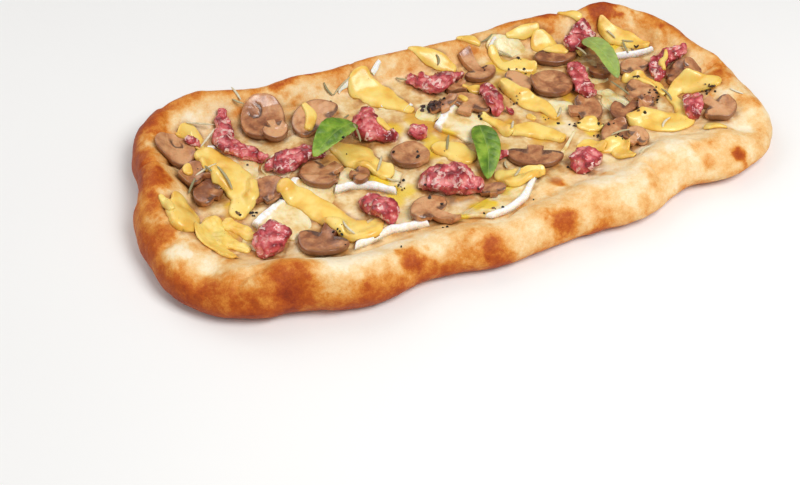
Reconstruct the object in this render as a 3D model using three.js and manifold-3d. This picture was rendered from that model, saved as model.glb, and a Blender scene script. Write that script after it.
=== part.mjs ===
// An oblong carbonara pizza: a puffed, hand-stretched dough with a thick uneven rim, topped with soft
// cheese in its white rind, mushroom slices, crumbled fresh sausage, poured egg cream and basil.
// Millimetres, +Z up. The dough lies flat on z = 0 with its middle on the origin and its long side on X.
import * as THREE from "three";
import { mergeVertices } from "three/addons/utils/BufferGeometryUtils.js";
import Module from "manifold-3d";

const wasm = await Module();
wasm.setup();

// ---- driving dimensions ----

const HALF_LENGTH = 200; // dough, middle to end
const HALF_WIDTH = 96; // dough, middle to long side
const CORNER = 58; // radius of its four corners
const BED = 12; // thickness of the topped middle
const RIDGE = 125; // half length of the line that the bed is drawn to
const AROUND = 104; // corners of the dough's outline, an even number

const GAP = 0.35; // air kept between pieces that touch
const REST = 0.3; // further air under a piece that is laid down
const REACH = 2.5; // poured cream bridges steps this near

const SLICE = 4; // thickness of a mushroom slice
const RIND = 4.4; // height of a cheese slice's rind
const CREAM = 2.6; // depth of poured cream
const LEAF = 0.9; // thickness of a basil leaf

// ---- solids ----

/** A closed solid from a geometry whose seams hold their corners twice. */
function solidOf(geometry) {
  const shell = geometry.clone();
  shell.deleteAttribute("normal");
  shell.deleteAttribute("uv");
  const merged = mergeVertices(shell, 1e-3);
  const corners = merged.index.array;
  const faces = [];
  for (let f = 0; f < corners.length; f += 3) {
    const [a, b, c] = corners.slice(f, f + 3);
    if (a !== b && b !== c && c !== a) faces.push(a, b, c);
  }
  const vertProperties = new Float32Array(merged.attributes.position.array);
  const triVerts = new Uint32Array(faces);
  return new wasm.Manifold(new wasm.Mesh({ numProp: 3, vertProperties, triVerts }));
}

/** The largest connected body of a solid, as a geometry; cutting can leave scraps beside it. */
function largestBody(solid) {
  const { vertProperties: points, triVerts: faces } = solid.getMesh();
  const leader = Array.from({ length: points.length / 3 }, (_, i) => i);
  const find = (i) => {
    while (leader[i] !== i) i = leader[i] = leader[leader[i]];
    return i;
  };
  for (let f = 0; f < faces.length; f += 3) {
    leader[find(faces[f])] = find(faces[f + 1]);
    leader[find(faces[f + 1])] = find(faces[f + 2]);
  }
  const volume = new Map();
  const corner = (i) => new THREE.Vector3().fromArray(points, 3 * i);
  for (let f = 0; f < faces.length; f += 3) {
    const wedge = corner(faces[f]).dot(corner(faces[f + 1]).cross(corner(faces[f + 2]))) / 6;
    const body = find(faces[f]);
    volume.set(body, (volume.get(body) ?? 0) + wedge);
  }
  const [largest] = [...volume.entries()].sort((p, q) => q[1] - p[1])[0];
  const kept = [];
  for (let f = 0; f < faces.length; f += 3) {
    if (find(faces[f]) === largest) kept.push(...faces.slice(f, f + 3));
  }
  const geometry = new THREE.BufferGeometry();
  geometry.setAttribute("position", new THREE.BufferAttribute(new Float32Array(points), 3));
  geometry.setIndex(kept);
  const alone = geometry.toNonIndexed();
  return mergeVertices(alone, 1e-6);
}

/** The same surface pushed out by the gap along its corner normals. */
function grown(geometry) {
  const shell = geometry.clone();
  shell.deleteAttribute("normal");
  shell.deleteAttribute("uv");
  const outer = mergeVertices(shell, 1e-3);
  outer.computeVertexNormals();
  const { position, normal } = outer.attributes;
  const p = new THREE.Vector3();
  const n = new THREE.Vector3();
  for (let i = 0; i < position.count; i++) {
    p.fromBufferAttribute(position, i).addScaledVector(n.fromBufferAttribute(normal, i), GAP);
    position.setXYZ(i, p.x, p.y, p.z);
  }
  return outer;
}

/**
 * The skin through a row of rings of points. A ring whose points all coincide closes an end.
 * The two halves of a ring are split by mirrored diagonals, so a thin sheet has both faces split alike.
 */
function skin(rings) {
  const count = rings[0].length;
  const faces = [];
  for (let j = 0; j + 1 < rings.length; j++) {
    for (let k = 0; k < count; k++) {
      const a = j * count + k;
      const b = j * count + ((k + 1) % count);
      const [c, d] = [a + count, b + count];
      if (2 * k < count) faces.push(a, b, d, a, d, c);
      else faces.push(a, b, c, b, d, c);
    }
  }
  const points = rings.flat();
  const geometry = new THREE.BufferGeometry().setFromPoints(points);
  const wedge = (f) => points[faces[f]].dot(points[faces[f + 1]].clone().cross(points[faces[f + 2]]));
  let volume = 0;
  for (let f = 0; f < faces.length; f += 3) volume += wedge(f);
  geometry.setIndex(volume > 0 ? faces : faces.reverse());
  return geometry;
}

/**
 * A thin piece from rows of columns, each column a place with its lower and upper height.
 * Each end is closed by a strip folded onto the middle line of its row.
 */
function sheet(rows) {
  const level = (row, share) => row.map(({ x, y, low, high }) => {
    return new THREE.Vector3(x, y, THREE.MathUtils.lerp(low, high, share));
  });
  const rings = rows.map((row) => [...level(row, 1), ...level(row, 0).reverse()]);
  const folded = (row) => [...level(row, 0.5), ...level(row, 0.5).reverse()];
  return skin([folded(rows[0]), ...rings, folded(rows.at(-1))]);
}

// ---- the dough ----

// Every 24th of the way round, from the middle of the right end by the far side: how far the edge
// stands out past the plain rounded oblong, the rim's height, and its width down to the bed.
const RIM = [
  [10, 25, 36], [0, 24, 30], [0, 25, 28], [0, 25, 26], [6, 24, 25], [4, 23, 24],
  [5, 24, 24], [3, 25, 25], [1, 25, 26], [10, 28, 32], [3, 27, 34], [-9, 27, 34],
  [3, 28, 36], [-3, 28, 40], [-8, 27, 42], [-7, 29, 38], [5, 29, 36], [-2, 26, 34],
  [3, 23, 36], [-2, 22, 38], [-1, 23, 46], [-15, 23, 50], [-5, 24, 50], [11, 25, 44],
];

// The rim's section from its foot over the crest: share of the width inwards, share of the height.
const SECTION = [
  [0.3, 0], [0.1, 0.12], [0, 0.38], [0.06, 0.68], [0.2, 0.9], [0.4, 1], [0.6, 0.92], [0.8, 0.72],
];
const BED_STEPS = 3; // rings between the rim and the middle line
const TOE = 1.5; // the bed's rise where it meets the rim

// Bubbles and hollows in the dough: x, y, radius, height.
const BUBBLES = [
  [150, 86, 15, 6], [113, 92, 12, 2.5], [-168, 86, 18, 2], [-184, 29, 15, 3], [-173, -53, 14, -8],
  [-183, -24, 10, -3], [-126, -78, 20, 2], [-50, -82, 22, -2], [20, -86, 15, 2], [64, -72, 22, 3],
  [42, -53, 9, 3], [137, -62, 26, 4], [112, -76, 9, -2.5], [182, -54, 13, -7], [191, 5, 10, -5],
  [200, 10, 9, 4], [198, -42, 9, 3], [180, -22, 10, 3], [170, 60, 16, 2], [-77, 96, 14, 2],
];

/** Rise or fall of the dough's top at a place: the bubbles and a slow ripple. */
function relief(x, y) {
  const ripple = 0.6 * Math.sin(x / 11 + 1.3 * Math.sin(y / 15)) * Math.cos(y / 9 + x / 40);
  return BUBBLES.reduce((sum, [bx, by, radius, height]) => {
    const away = ((x - bx) ** 2 + (y - by) ** 2) / radius ** 2;
    return sum + height * Math.exp(-away);
  }, ripple);
}

/** The dough: rings from the middle of its underside, round the rim and back to the middle on top. */
function dough() {
  const [endX, sideY] = [HALF_LENGTH - CORNER, HALF_WIDTH - CORNER];
  const outline = new THREE.Path();
  outline.moveTo(HALF_LENGTH, 0);
  outline.lineTo(HALF_LENGTH, sideY);
  outline.absarc(endX, sideY, CORNER, 0, Math.PI / 2);
  outline.lineTo(-endX, HALF_WIDTH);
  outline.absarc(-endX, sideY, CORNER, Math.PI / 2, Math.PI);
  outline.lineTo(-HALF_LENGTH, 0);
  const half = outline.getSpacedPoints(AROUND / 2);
  const rim = new THREE.CatmullRomCurve3(RIM.map((station) => new THREE.Vector3(...station)), true);

  const spokes = Array.from({ length: AROUND }, (_, i) => {
    const twin = half[Math.min(i, AROUND - i)];
    const edge = new THREE.Vector2(twin.x, i <= AROUND / 2 ? twin.y : -twin.y);
    const middle = new THREE.Vector2(THREE.MathUtils.clamp(twin.x, -RIDGE, RIDGE), 0);
    const reach = middle.distanceTo(edge);
    const [push, high, wide] = rim.getPoint(i / AROUND).toArray();
    return { middle, inward: middle.clone().sub(edge).divideScalar(reach), reach, push, high, wide };
  });
  const at = ({ middle, inward, reach }, inset, z) => {
    const place = middle.clone().addScaledVector(inward, inset - reach);
    return new THREE.Vector3(place.x, place.y, z);
  };
  const onTop = (point, share) => {
    point.z += share * relief(point.x, point.y);
    return point;
  };

  const rings = [spokes.map((s) => at(s, s.reach, 0))];
  for (const [across, up] of SECTION) {
    rings.push(spokes.map((s) => onTop(at(s, across * s.wide - s.push, up * s.high), up)));
  }
  for (let step = 0; step <= BED_STEPS + 1; step++) {
    const z = step === 0 ? BED + TOE : BED;
    rings.push(spokes.map((s) => {
      const inset = THREE.MathUtils.lerp(s.wide - s.push, s.reach, step / (BED_STEPS + 1));
      return onTop(at(s, inset, z), 1);
    }));
  }
  return skin(rings);
}

// ---- laying pieces on the dough ----

const pizza = new THREE.Group();
const laid = []; // each piece on the pizza, grown by the gap, with its box

const finish = {
  crust: new THREE.MeshStandardMaterial({ color: 0xe0aa6a, roughness: 0.8, metalness: 0 }),
  cheese: new THREE.MeshStandardMaterial({ color: 0xf3e6c4, roughness: 0.45, metalness: 0 }),
  mushroom: new THREE.MeshStandardMaterial({ color: 0xb98d69, roughness: 0.5, metalness: 0 }),
  sausage: new THREE.MeshStandardMaterial({ color: 0xc7656c, roughness: 0.5, metalness: 0 }),
  cream: new THREE.MeshStandardMaterial({ color: 0xf4cf6c, roughness: 0.3, metalness: 0 }),
  basil: new THREE.MeshStandardMaterial({ color: 0x5e8f31, roughness: 0.5, metalness: 0 }),
};

const caster = new THREE.Raycaster();
const DOWN = new THREE.Vector3(0, 0, -1);
const ABOVE = 200; // height that the rays start from

/** Height of whatever lies on top at a place. */
function ground(x, y) {
  caster.set(new THREE.Vector3(x, y, ABOVE), DOWN);
  const [hit] = caster.intersectObjects(pizza.children, false);
  return hit ? hit.point.z : 0;
}

/** Height of the highest thing within reach of a place. */
function seat(x, y) {
  const around = [[0, 0], [REACH, 0], [-REACH, 0], [0, REACH], [0, -REACH]];
  return Math.max(...around.map(([dx, dy]) => ground(x + dx, y + dy)));
}

/** Cuts a piece clear of all that it lies on and adds it to the pizza, with its origin in its middle. */
function lay(name, geometry, material) {
  geometry.computeBoundingBox();
  const box = geometry.boundingBox.clone().expandByScalar(GAP);
  let solid = solidOf(geometry);
  for (const other of laid) {
    if (other.box.intersectsBox(box)) solid = solid.subtract(other.solid);
  }
  laid.push({ box, solid: solidOf(grown(geometry)) });
  const body = largestBody(solid);
  body.computeBoundingBox();
  const middle = body.boundingBox.getCenter(new THREE.Vector3());
  body.translate(-middle.x, -middle.y, -middle.z);
  body.computeVertexNormals();
  const mesh = new THREE.Mesh(body, material);
  mesh.name = name;
  mesh.position.copy(middle);
  mesh.updateMatrixWorld();
  pizza.add(mesh);
  return mesh;
}

/** "mushroom_03" from "mushroom" and 2. */
function numbered(kind, index) {
  return `${kind}_${String(index + 1).padStart(2, "0")}`;
}

const base = dough();
const crust = lay("crust", base, finish.crust);

// ---- soft cheese with a white rind ----

// Each slice: the line of its rind, and the line of the opposite side, from the same end.
const CHEESES = [
  { rind: [[-160, 39], [-151, 48], [-142, 57]], back: [[-140, 8], [-124, 17], [-112, 38]] },
  { rind: [[-115, -2], [-108, 4], [-101, 9]], back: [[-88, -28], [-80, -16], [-76, -2]] },
  { rind: [[-136, -19], [-125, -12], [-114, -6]], back: [[-116, -42], [-104, -36], [-99, -22]] },
  { rind: [[-81, -13], [-70, -12], [-57, -16], [-45, -25]],
    back: [[-70, 8], [-58, 8], [-46, 4], [-34, -8]] },
  { rind: [[-86, -62], [-75, -60], [-64, -57], [-50, -58], [-37, -60]],
    back: [[-78, -45], [-68, -40], [-57, -36], [-46, -38], [-34, -43]] },
  { rind: [[-2, -72], [13, -68], [25, -63], [33, -55], [41, -46]],
    back: [[-20, -60], [-12, -54], [0, -50], [12, -46], [24, -42]] },
  { rind: [[136, 46], [154, 43], [172, 41]], back: [[135, 62], [150, 60], [166, 52]] },
  { rind: [[0, 24], [8, 33], [17, 40]], back: [[18, -2], [28, 4], [38, 12]] },
];
const CHEESE_STEPS = 5;

// Columns of a slice from the rind to the back: place across, thickness as a share of the rind's.
const CHEESE_COLUMNS = [[0, 0.9], [0.12, 1], [0.2, 0.58], [0.6, 0.52], [1, 0.3]];

function cheeseSlice({ rind, back }) {
  const line = (list) => new THREE.SplineCurve(list.map(([x, y]) => new THREE.Vector2(x, y)));
  const [front, rear] = [line(rind), line(back)];
  return sheet(Array.from({ length: CHEESE_STEPS + 1 }, (_, j) => {
    const [a, b] = [front.getPoint(j / CHEESE_STEPS), rear.getPoint(j / CHEESE_STEPS)];
    return CHEESE_COLUMNS.map(([across, up]) => {
      const { x, y } = a.clone().lerp(b, across);
      const low = ground(x, y) + GAP + REST;
      return { x, y, low, high: low + up * RIND };
    });
  }));
}

CHEESES.forEach((slice, i) => lay(numbered("cheese", i), cheeseSlice(slice), finish.cheese));

// ---- mushroom slices ----

// Each slice: x, y, half width of the cap, its depth as a share of that, how far its lower side
// bulges (1 for a disc), length of the stem below it, and the way the stem points in degrees.
const MUSHROOMS = [
  [-102, 67, 15, 0.93, 1, 0, 125], [-162, 55, 12, 1, 1, 0, 75],
  [-152, 14, 12, 0.8, 0.5, 3, 320], [-157, 30, 10, 1, 0.7, 8, 330], [-68, 54, 18, 1, 0.3, 12, 300],
  [-118, 3, 11, 1.2, 0.8, 6, 200], [-82, 6, 15, 1, 0.4, 8, 15], [-100, -50, 15.5, 0.9, 0.4, 10, 50],
  [-25, 2, 11.5, 1.1, 1, 0, 0], [-32, -50, 14, 0.9, 0.4, 15, 300], [48, -27, 18, 0.6, 0.3, 4, 62],
  [49, 62, 12, 0.8, 0.3, 16, 100], [67, 42, 12, 0.9, 0.5, 5, 180], [90, 34, 13, 1.15, 1, 0, 0],
  [28, 32, 15, 0.8, 0.3, 7, 230], [107, 63, 16, 0.7, 0.4, 0, 90], [99, 3, 13, 0.9, 0.5, 6, 170],
  [150, 28, 11, 0.9, 0.3, 4, 270], [172, 12, 10, 1, 0.6, 5, 140], [142, 5, 12, 0.8, 0.6, 5, 190],
  [122, -10, 10, 1, 0.4, 8, 20], [107, -26, 12, 0.8, 0.5, 10, 310], [176, -34, 10, 1.2, 0.6, 6, 110],
];
const CAP_SEGMENTS = 4; // per quarter turn of the cap
const FLARE = 0.07; // how much wider a stem is at its foot, each side, as a share of its length
const PROP = 0.7; // where a slice rests on what lies below, as a share of its half width

/** Outline of a slice: a domed cap over gills that curve in to a short stem, or a whole disc of cap. */
function mushroomOutline(cap, depth, bulge, stem) {
  const neck = 0.28 * cap;
  const gills = -0.45 * bulge * cap;
  const foot = neck + FLARE * stem;
  const outline = new THREE.Shape();
  outline.moveTo(cap, 0);
  outline.absellipse(0, 0, cap, depth * cap, 0, Math.PI);
  if (bulge === 1) return outline.absellipse(0, 0, cap, depth * cap, Math.PI, 2 * Math.PI);
  outline.quadraticCurveTo(-0.9 * cap, -0.9 * bulge * cap, -neck, 1.6 * gills);
  outline.lineTo(-foot, 1.6 * gills - stem);
  outline.quadraticCurveTo(0, 1.6 * gills - stem - 0.3 * neck, foot, 1.6 * gills - stem);
  outline.lineTo(neck, 1.6 * gills);
  outline.quadraticCurveTo(0.9 * cap, -0.9 * bulge * cap, cap, 0);
  return outline;
}

/** A flat slice set down on whatever lies below it, leaning as that leans. */
function mushroomSlice([x, y, cap, depth, bulge, stem, heading]) {
  const cut = { depth: SLICE, bevelEnabled: false, curveSegments: CAP_SEGMENTS };
  const slice = new THREE.ExtrudeGeometry(mushroomOutline(cap, depth, bulge, stem), cut);
  slice.rotateZ(THREE.MathUtils.degToRad(heading + 90));
  const arm = PROP * cap;
  const [east, west] = [ground(x + arm, y), ground(x - arm, y)];
  const [north, south] = [ground(x, y + arm), ground(x, y - arm)];
  const up = new THREE.Vector3((west - east) / (2 * arm), (south - north) / (2 * arm), 1).normalize();
  slice.applyQuaternion(new THREE.Quaternion().setFromUnitVectors(new THREE.Vector3(0, 0, 1), up));
  const middle = (east + west + north + south) / 4;
  const rest = (middle + Math.max(middle, ground(x, y))) / 2;
  return slice.translate(x, y, rest + GAP + REST);
}

MUSHROOMS.forEach((slice, i) => lay(numbered("mushroom", i), mushroomSlice(slice), finish.mushroom));

// ---- poured egg cream ----

// Each puddle: points along its middle with the half width there.
const PUDDLES = [
  [[-146, 47, 6], [-139, 32, 10], [-134, 17, 10], [-135, 4, 8], [-140, -5, 6]],
  [[-172, 7, 6], [-173, -3, 9.5], [-175, -13, 7]],
  [[-108, -2, 6], [-101, -10, 8], [-94, -21, 9], [-88, -33, 9], [-80, -46, 9], [-72, -51, 7],
    [-66, -47, 4]],
  [[-29, 76, 10], [-23, 68, 12], [-15, 57, 7], [-8, 47, 4]],
  [[-64, 28, 6], [-58, 18, 10], [-52, 5, 9], [-46, -5, 7]],
  [[148, 72, 4], [153, 64, 6], [160, 56, 6], [168, 48, 4]],
  [[59, 44, 4], [63, 33, 6], [69, 24, 6], [76, 15, 5], [78, 5, 3]],
  [[46, 2, 4], [57, -1, 7], [65, -7, 6], [72, -15, 4]],
  [[-3, 3, 7], [3, -1, 10], [7, -9, 8]],
  [[22, -34, 5], [28, -40, 10], [37, -42, 8], [44, -42, 4]],
  [[186, -12, 5], [178, -4, 6], [169, 1, 5], [161, -3, 4], [160, -14, 4], [155, -28, 7], [144, -29, 10],
    [133, -23, 9], [122, -18, 4]],
];
// Columns of a mound from edge to edge: place across, share of the depth.
const MOUND_COLUMNS = [[-1, 0.35], [-0.6, 0.9], [0, 1.1], [0.6, 0.9], [1, 0.35]];

// A mound's rounded end: how far past its last point, and its half width there, as shares of that width.
const MOUND_END = [[0.95, 0.3], [0.65, 0.75]];
const MOUND_STEP = 8; // length of a mound between two rows

/** A soft mound along a line, draped over whatever lies below it; depth gives its height at a place. */
function mound(points, depth) {
  const line = new THREE.CatmullRomCurve3(points.map((point) => new THREE.Vector3(...point)));
  const steps = Math.max(2, Math.round(line.getLength() / MOUND_STEP));
  const station = (at, past, narrow) => {
    const { x, y, z: half } = line.getPointAt(at);
    const tangent = line.getTangentAt(at);
    const along = new THREE.Vector2(tangent.x, tangent.y).normalize();
    return { x: x + past * half * along.x, y: y + past * half * along.y, along, half: narrow * half };
  };
  const stations = [
    ...MOUND_END.map(([past, narrow]) => station(0, -past, narrow)),
    ...Array.from({ length: steps + 1 }, (_, j) => station(j / steps, 0, 1)),
    ...MOUND_END.map(([past, narrow]) => station(1, past, narrow)).reverse(),
  ];
  return sheet(stations.map((s) => MOUND_COLUMNS.map(([across, up]) => {
    const x = s.x - across * s.half * s.along.y;
    const y = s.y + across * s.half * s.along.x;
    const low = seat(x, y) + GAP + REST;
    return { x, y, low, high: low + up * depth(x, y, s.half) };
  })));
}

PUDDLES.forEach((points, i) => lay(numbered("egg_cream", i), mound(points, () => CREAM), finish.cream));

// ---- crumbled sausage ----

// Each piece: points along its middle with the half width there.
const SAUSAGES = [
  [[-126, 77, 4], [-129, 67, 6], [-131, 56, 7], [-128, 47, 7], [-121, 40, 6.5], [-115, 35, 4]],
  [[-109, 24, 6], [-102, 22, 8.5], [-94, 24, 8], [-85, 26, 6.5], [-78, 27, 5]],
  [[-36, 51, 5], [-40, 42, 7], [-42, 34, 9], [-36, 29, 8], [-30, 24, 5]],
  [[-133, -43, 9], [-127, -37, 10]],
  [[-64, -27, 6], [-61, -36, 8], [-58, -46, 7.5]],
  [[3, 72, 4], [10, 65, 6.5], [17, 59, 8], [26, 60, 6.5], [33, 62, 4.5]],
  [[-13, 23, 6], [-11, 21, 6]],
  [[46, 40, 6], [45, 31, 6.5], [43, 23, 6]],
  [[133, 70, 7], [127, 67, 7], [119, 62, 6]],
  [[113, 45, 5], [110, 35, 6.5], [108, 25, 6.5], [107, 15, 6]],
  [[-22, -26, 9], [-14, -31, 11], [-6, -34, 11], [1, -39, 7]],
  [[73, -46, 9.5], [76, -44, 9.5]],
  [[160, 14, 4], [164, 23, 6], [172, 27, 6.5], [181, 24, 5.5]],
  [[168, -16, 5], [164, -24, 6], [160, -30, 5.5]],
];
const STOUT = 1.35; // height of a piece as a share of its half width
const CRUMBLE = 0.18; // how unevenly it is torn

/** Height of a sausage piece at a place, uneven in a fixed pattern. */
function crumble(x, y, half) {
  const torn = Math.sin(0.9 * x + 1.7 * Math.sin(0.5 * y)) * Math.cos(0.8 * y - 0.3 * x);
  return STOUT * half * (1 + CRUMBLE * torn);
}

SAUSAGES.forEach((points, i) => lay(numbered("sausage", i), mound(points, crumble), finish.sausage));

// ---- basil ----

// Each leaf: the line of its midrib from stalk to tip, its half width, and how far its sides rise.
const LEAVES = [
  { rib: [[-50, 38], [-65, 30], [-84, 16]], half: 10.5, cup: 3 },
  { rib: [[27, 13], [21, -14], [12, -36]], half: 8.5, cup: 3 },
  { rib: [[128, 62], [130, 40], [129, 15]], half: 7.5, cup: 2.5 },
];
const LEAF_STEPS = 8;
const LEAF_COLUMNS = [-1, -0.5, 0, 0.5, 1];

/** A thin cupped leaf with wavy sides, resting on the highest thing below it. */
function leaf({ rib, half, cup }) {
  const line = new THREE.SplineCurve(rib.map(([x, y]) => new THREE.Vector2(x, y)));
  const rows = Array.from({ length: LEAF_STEPS + 1 }, (_, j) => {
    const u = j / LEAF_STEPS;
    const [place, along] = [line.getPoint(u), line.getTangent(u)];
    const arch = Math.sin(Math.PI * u);
    const wide = Math.max(half * Math.sin(Math.PI * u ** 0.8) ** 0.75, LEAF / 2);
    return LEAF_COLUMNS.map((v) => {
      const low = 3 * arch + cup * v * v * arch + 0.7 * v * Math.sin(9 * u);
      return { x: place.x - v * wide * along.y, y: place.y + v * wide * along.x, low, high: low + LEAF };
    });
  });
  const lift = Math.max(...rows.flat().map(({ x, y, low }) => ground(x, y) - low)) + GAP + REST;
  for (const column of rows.flat()) {
    column.low += lift;
    column.high += lift;
  }
  return sheet(rows);
}

LEAVES.forEach((blade, i) => lay(`basil_${i + 1}`, leaf(blade), finish.basil));

// ---- rosemary and pepper, stuck to the dough ----

// Rosemary needles that lie on bare dough: x, y, the way they point in degrees.
const NEEDLES = [
  [-143, 74, 173], [-114, 87, 104], [-54, 84, 94], [25, 80, 100], [-165, 12, 50],
  [-12, 89, 60], [190, -24, 300], [60, 84, 20],
];
const NEEDLE = { length: 11, thick: 1.5 };

// Grains of crushed pepper on bare dough.
const GRAINS = [
  [-95, 95], [-47, 90], [80, 85], [-42, -68], [-92, -66], [-176, 62], [185, 42], [30, -78], [-150, -60],
];
const GRAIN = 1.3; // radius of a grain

/** A needle lying half sunk in the dough, sloping as the dough does. */
function needle([x, y, heading]) {
  const stick = new THREE.CylinderGeometry(0.3 * NEEDLE.thick, 0.5 * NEEDLE.thick, NEEDLE.length, 5);
  const way = new THREE.Vector2(1, 0).rotateAround(new THREE.Vector2(), THREE.MathUtils.degToRad(heading));
  const end = (share) => {
    const [ex, ey] = [x + share * NEEDLE.length * way.x, y + share * NEEDLE.length * way.y];
    return new THREE.Vector3(ex, ey, ground(ex, ey));
  };
  const [from, to] = [end(-0.45), end(0.45)];
  const along = to.clone().sub(from).normalize();
  stick.applyQuaternion(new THREE.Quaternion().setFromUnitVectors(new THREE.Vector3(0, 1, 0), along));
  return stick.translate(...from.add(to).multiplyScalar(0.5).toArray());
}

/** An angular grain, half sunk. */
function grain([x, y]) {
  return new THREE.IcosahedronGeometry(GRAIN, 0).translate(x, y, ground(x, y) + 0.3 * GRAIN);
}

/** Joins small pieces to the dough wherever they are clear of everything that was laid on it. */
function stick(base, pieces) {
  const clear = pieces.filter((piece) => {
    piece.computeBoundingBox();
    return laid.slice(1).every((other) => !other.box.intersectsBox(piece.boundingBox));
  });
  return largestBody(clear.reduce((all, piece) => all.add(solidOf(piece)), solidOf(base)));
}

const studded = stick(base, [...NEEDLES.map(needle), ...GRAINS.map(grain)]);
studded.translate(...crust.position.clone().negate().toArray());
studded.computeVertexNormals();
crust.geometry = studded;

// ---- the whole pizza, with the middle of its box on the origin ----

const { x: midX, y: midY } = new THREE.Box3().setFromObject(pizza).getCenter(new THREE.Vector3());
pizza.position.set(-midX, -midY, 0);

export default pizza;
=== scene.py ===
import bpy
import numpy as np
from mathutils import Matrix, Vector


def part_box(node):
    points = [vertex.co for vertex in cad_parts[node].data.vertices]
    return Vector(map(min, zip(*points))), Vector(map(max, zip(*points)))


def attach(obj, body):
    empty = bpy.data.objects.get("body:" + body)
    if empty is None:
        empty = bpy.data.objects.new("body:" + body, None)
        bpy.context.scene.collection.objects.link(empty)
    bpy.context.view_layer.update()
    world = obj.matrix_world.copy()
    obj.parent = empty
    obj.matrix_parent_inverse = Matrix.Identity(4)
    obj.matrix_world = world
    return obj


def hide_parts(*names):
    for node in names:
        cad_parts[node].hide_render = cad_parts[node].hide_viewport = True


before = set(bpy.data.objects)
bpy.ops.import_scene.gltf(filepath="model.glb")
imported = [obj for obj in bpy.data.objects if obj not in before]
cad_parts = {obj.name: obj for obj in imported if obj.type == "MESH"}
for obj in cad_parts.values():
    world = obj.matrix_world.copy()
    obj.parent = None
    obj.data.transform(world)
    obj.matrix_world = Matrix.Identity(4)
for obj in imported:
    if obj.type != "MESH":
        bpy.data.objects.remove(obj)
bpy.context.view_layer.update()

# An oblong carbonara pizza, dressed from the dough up. Places are worked out in millimetres in the frame
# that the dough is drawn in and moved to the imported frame, in metres, by to_frame. One map holds the
# height of whatever lies on top, so that each piece is laid on what is below it.

# ---- the dough ----
# A wet wheat dough stretched by hand to a rounded oblong, with a thick rim, and baked on hot stone:
# cream where it stayed pale, golden on its crests, orange to brown at its foot and on its blisters.

MM = 0.001
HALF_LENGTH, HALF_WIDTH, CORNER = 200, 96, 58
BED, TOE, RIDGE = 12, 1.5, 125

# Every 24th of the way round, from the middle of the right end by the far side: how far the edge
# stands out past the plain rounded oblong, the rim's height, and its width down to the bed.
RIM = [
    (10, 25, 36), (0, 24, 30), (0, 25, 28), (0, 25, 26), (6, 24, 25), (4, 23, 24),
    (5, 24, 24), (3, 25, 25), (1, 25, 26), (10, 28, 32), (3, 27, 34), (-9, 27, 34),
    (3, 28, 36), (-3, 28, 40), (-8, 27, 42), (-7, 29, 38), (5, 29, 36), (-2, 26, 34),
    (3, 23, 36), (-2, 22, 38), (-1, 23, 46), (-15, 23, 50), (-5, 24, 50), (11, 25, 44),
]
# The rim's section from its underside over the crest: share of the width inwards, share of the height.
SECTION = [
    (0.6, 0), (0.3, 0), (0.1, 0.12), (0, 0.38), (0.06, 0.68), (0.2, 0.9), (0.4, 1), (0.6, 0.92), (0.8, 0.72),
]
# Bubbles and hollows in the dough: x, y, radius, height.
BUBBLES = [
    (150, 86, 15, 6), (113, 92, 12, 2.5), (-168, 86, 18, 2), (-184, 29, 15, 3), (-173, -53, 14, -8),
    (-183, -24, 10, -3), (-126, -78, 20, 2), (-50, -82, 22, -2), (20, -86, 15, 2), (64, -72, 22, 3),
    (42, -53, 9, 3), (137, -62, 26, 4), (112, -76, 9, -2.5), (182, -54, 13, -7), (191, 5, 10, -5),
    (200, 10, 9, 4), (198, -42, 9, 3), (180, -22, 10, 3), (170, 60, 16, 2), (-77, 96, 14, 2),
]
# Browned and pale places: x, y, z, radius, how much darker.
SCORCHED = [
    (-130, -77, 31, 14, 0.3), (-127, -88, 20, 12, 0.22), (-156, -66, 28, 12, -0.16),
    (-105, -92, 26, 12, -0.17), (-84, -99, 10, 18, 0.2), (-60, -89, 23, 9, 0.44),
    (-47, -88, 22, 9, -0.16), (-12, -93, 20, 8, 0.46), (37, -90, 19, 9, 0.44),
    (49, -53, 15, 6, 0.62), (167, -76, 18, 4.5, 0.55), (144, -77, 19, 5, 0.25),
    (-161, -84, 13, 14, 0.20), (-93, -84, 28, 11, -0.10), (-142, -94, 12, 12, 0.20), (107, 89, 26, 10, 0.22),
    (188, -8, 23, 13, 0.34), (189, -37, 23, 10, 0.22), (-43, 85, 24, 11, 0.14), (63, 92, 22, 12, -0.16),
    (166, -88, 8, 9, 0.3), (120, -92, 8, 9, 0.25), (-185, 26, 29, 12, 0.30), (-186, 3, 27, 10, 0.22),
    (-188, -22, 26, 9, 0.30), (-191, 44, 22, 14, 0.22), (150, 82, 32, 13, 0.75), (-77, 97, 28, 13, 0.42),
    (-172, 82, 28, 14, 0.26), (-120, 95, 28, 10, 0.16), (113, 95, 27, 8, 0.26), (178, 62, 26, 9, 0.22),
    (-173, -50, 18, 14, -0.3), (-186, -37, 25, 9, -0.34), (-150, 76, 20, 12, -0.2), (-180, 58, 22, 9, -0.2),
    (-105, -72, 22, 20, -0.12), (182, -54, 16, 10, -0.15), (90, -70, 24, 30, -0.12), (-168, 68, 22, 7, 0.2),
    (60, -94, 8, 8, 0.3), (-40, -96, 8, 10, 0.2), (-170, -66, 24, 12, 0.2), (190, 48, 22, 9, 0.2),
    (206, 14, 20, 8, 0.2), (-176, 22, 27, 9, 0.14), (-195, -20, 20, 14, 0.08), (-184, -61, 16, 14, 0.16),
    (-8, -99, 8, 10, 0.28), (187, -60, 20, 12, 0.12), (-60, 99, 22, 10, 0.2), (-20, 99, 22, 9, 0.15),
    (-5, 95, 24, 14, -0.12),
]
DARKEST = 0.86
AROUND, RIM_STEPS, BED_STEPS, BASE_STEPS = 720, 66, 50, 5


def smooth(low, high, value):
    """0 below low, 1 above high, and between them the cubic 3t2 - 2t3 of the share t."""
    share = np.clip((value - low) / (high - low), 0, 1)
    return share * share * (3 - 2 * share)


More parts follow.
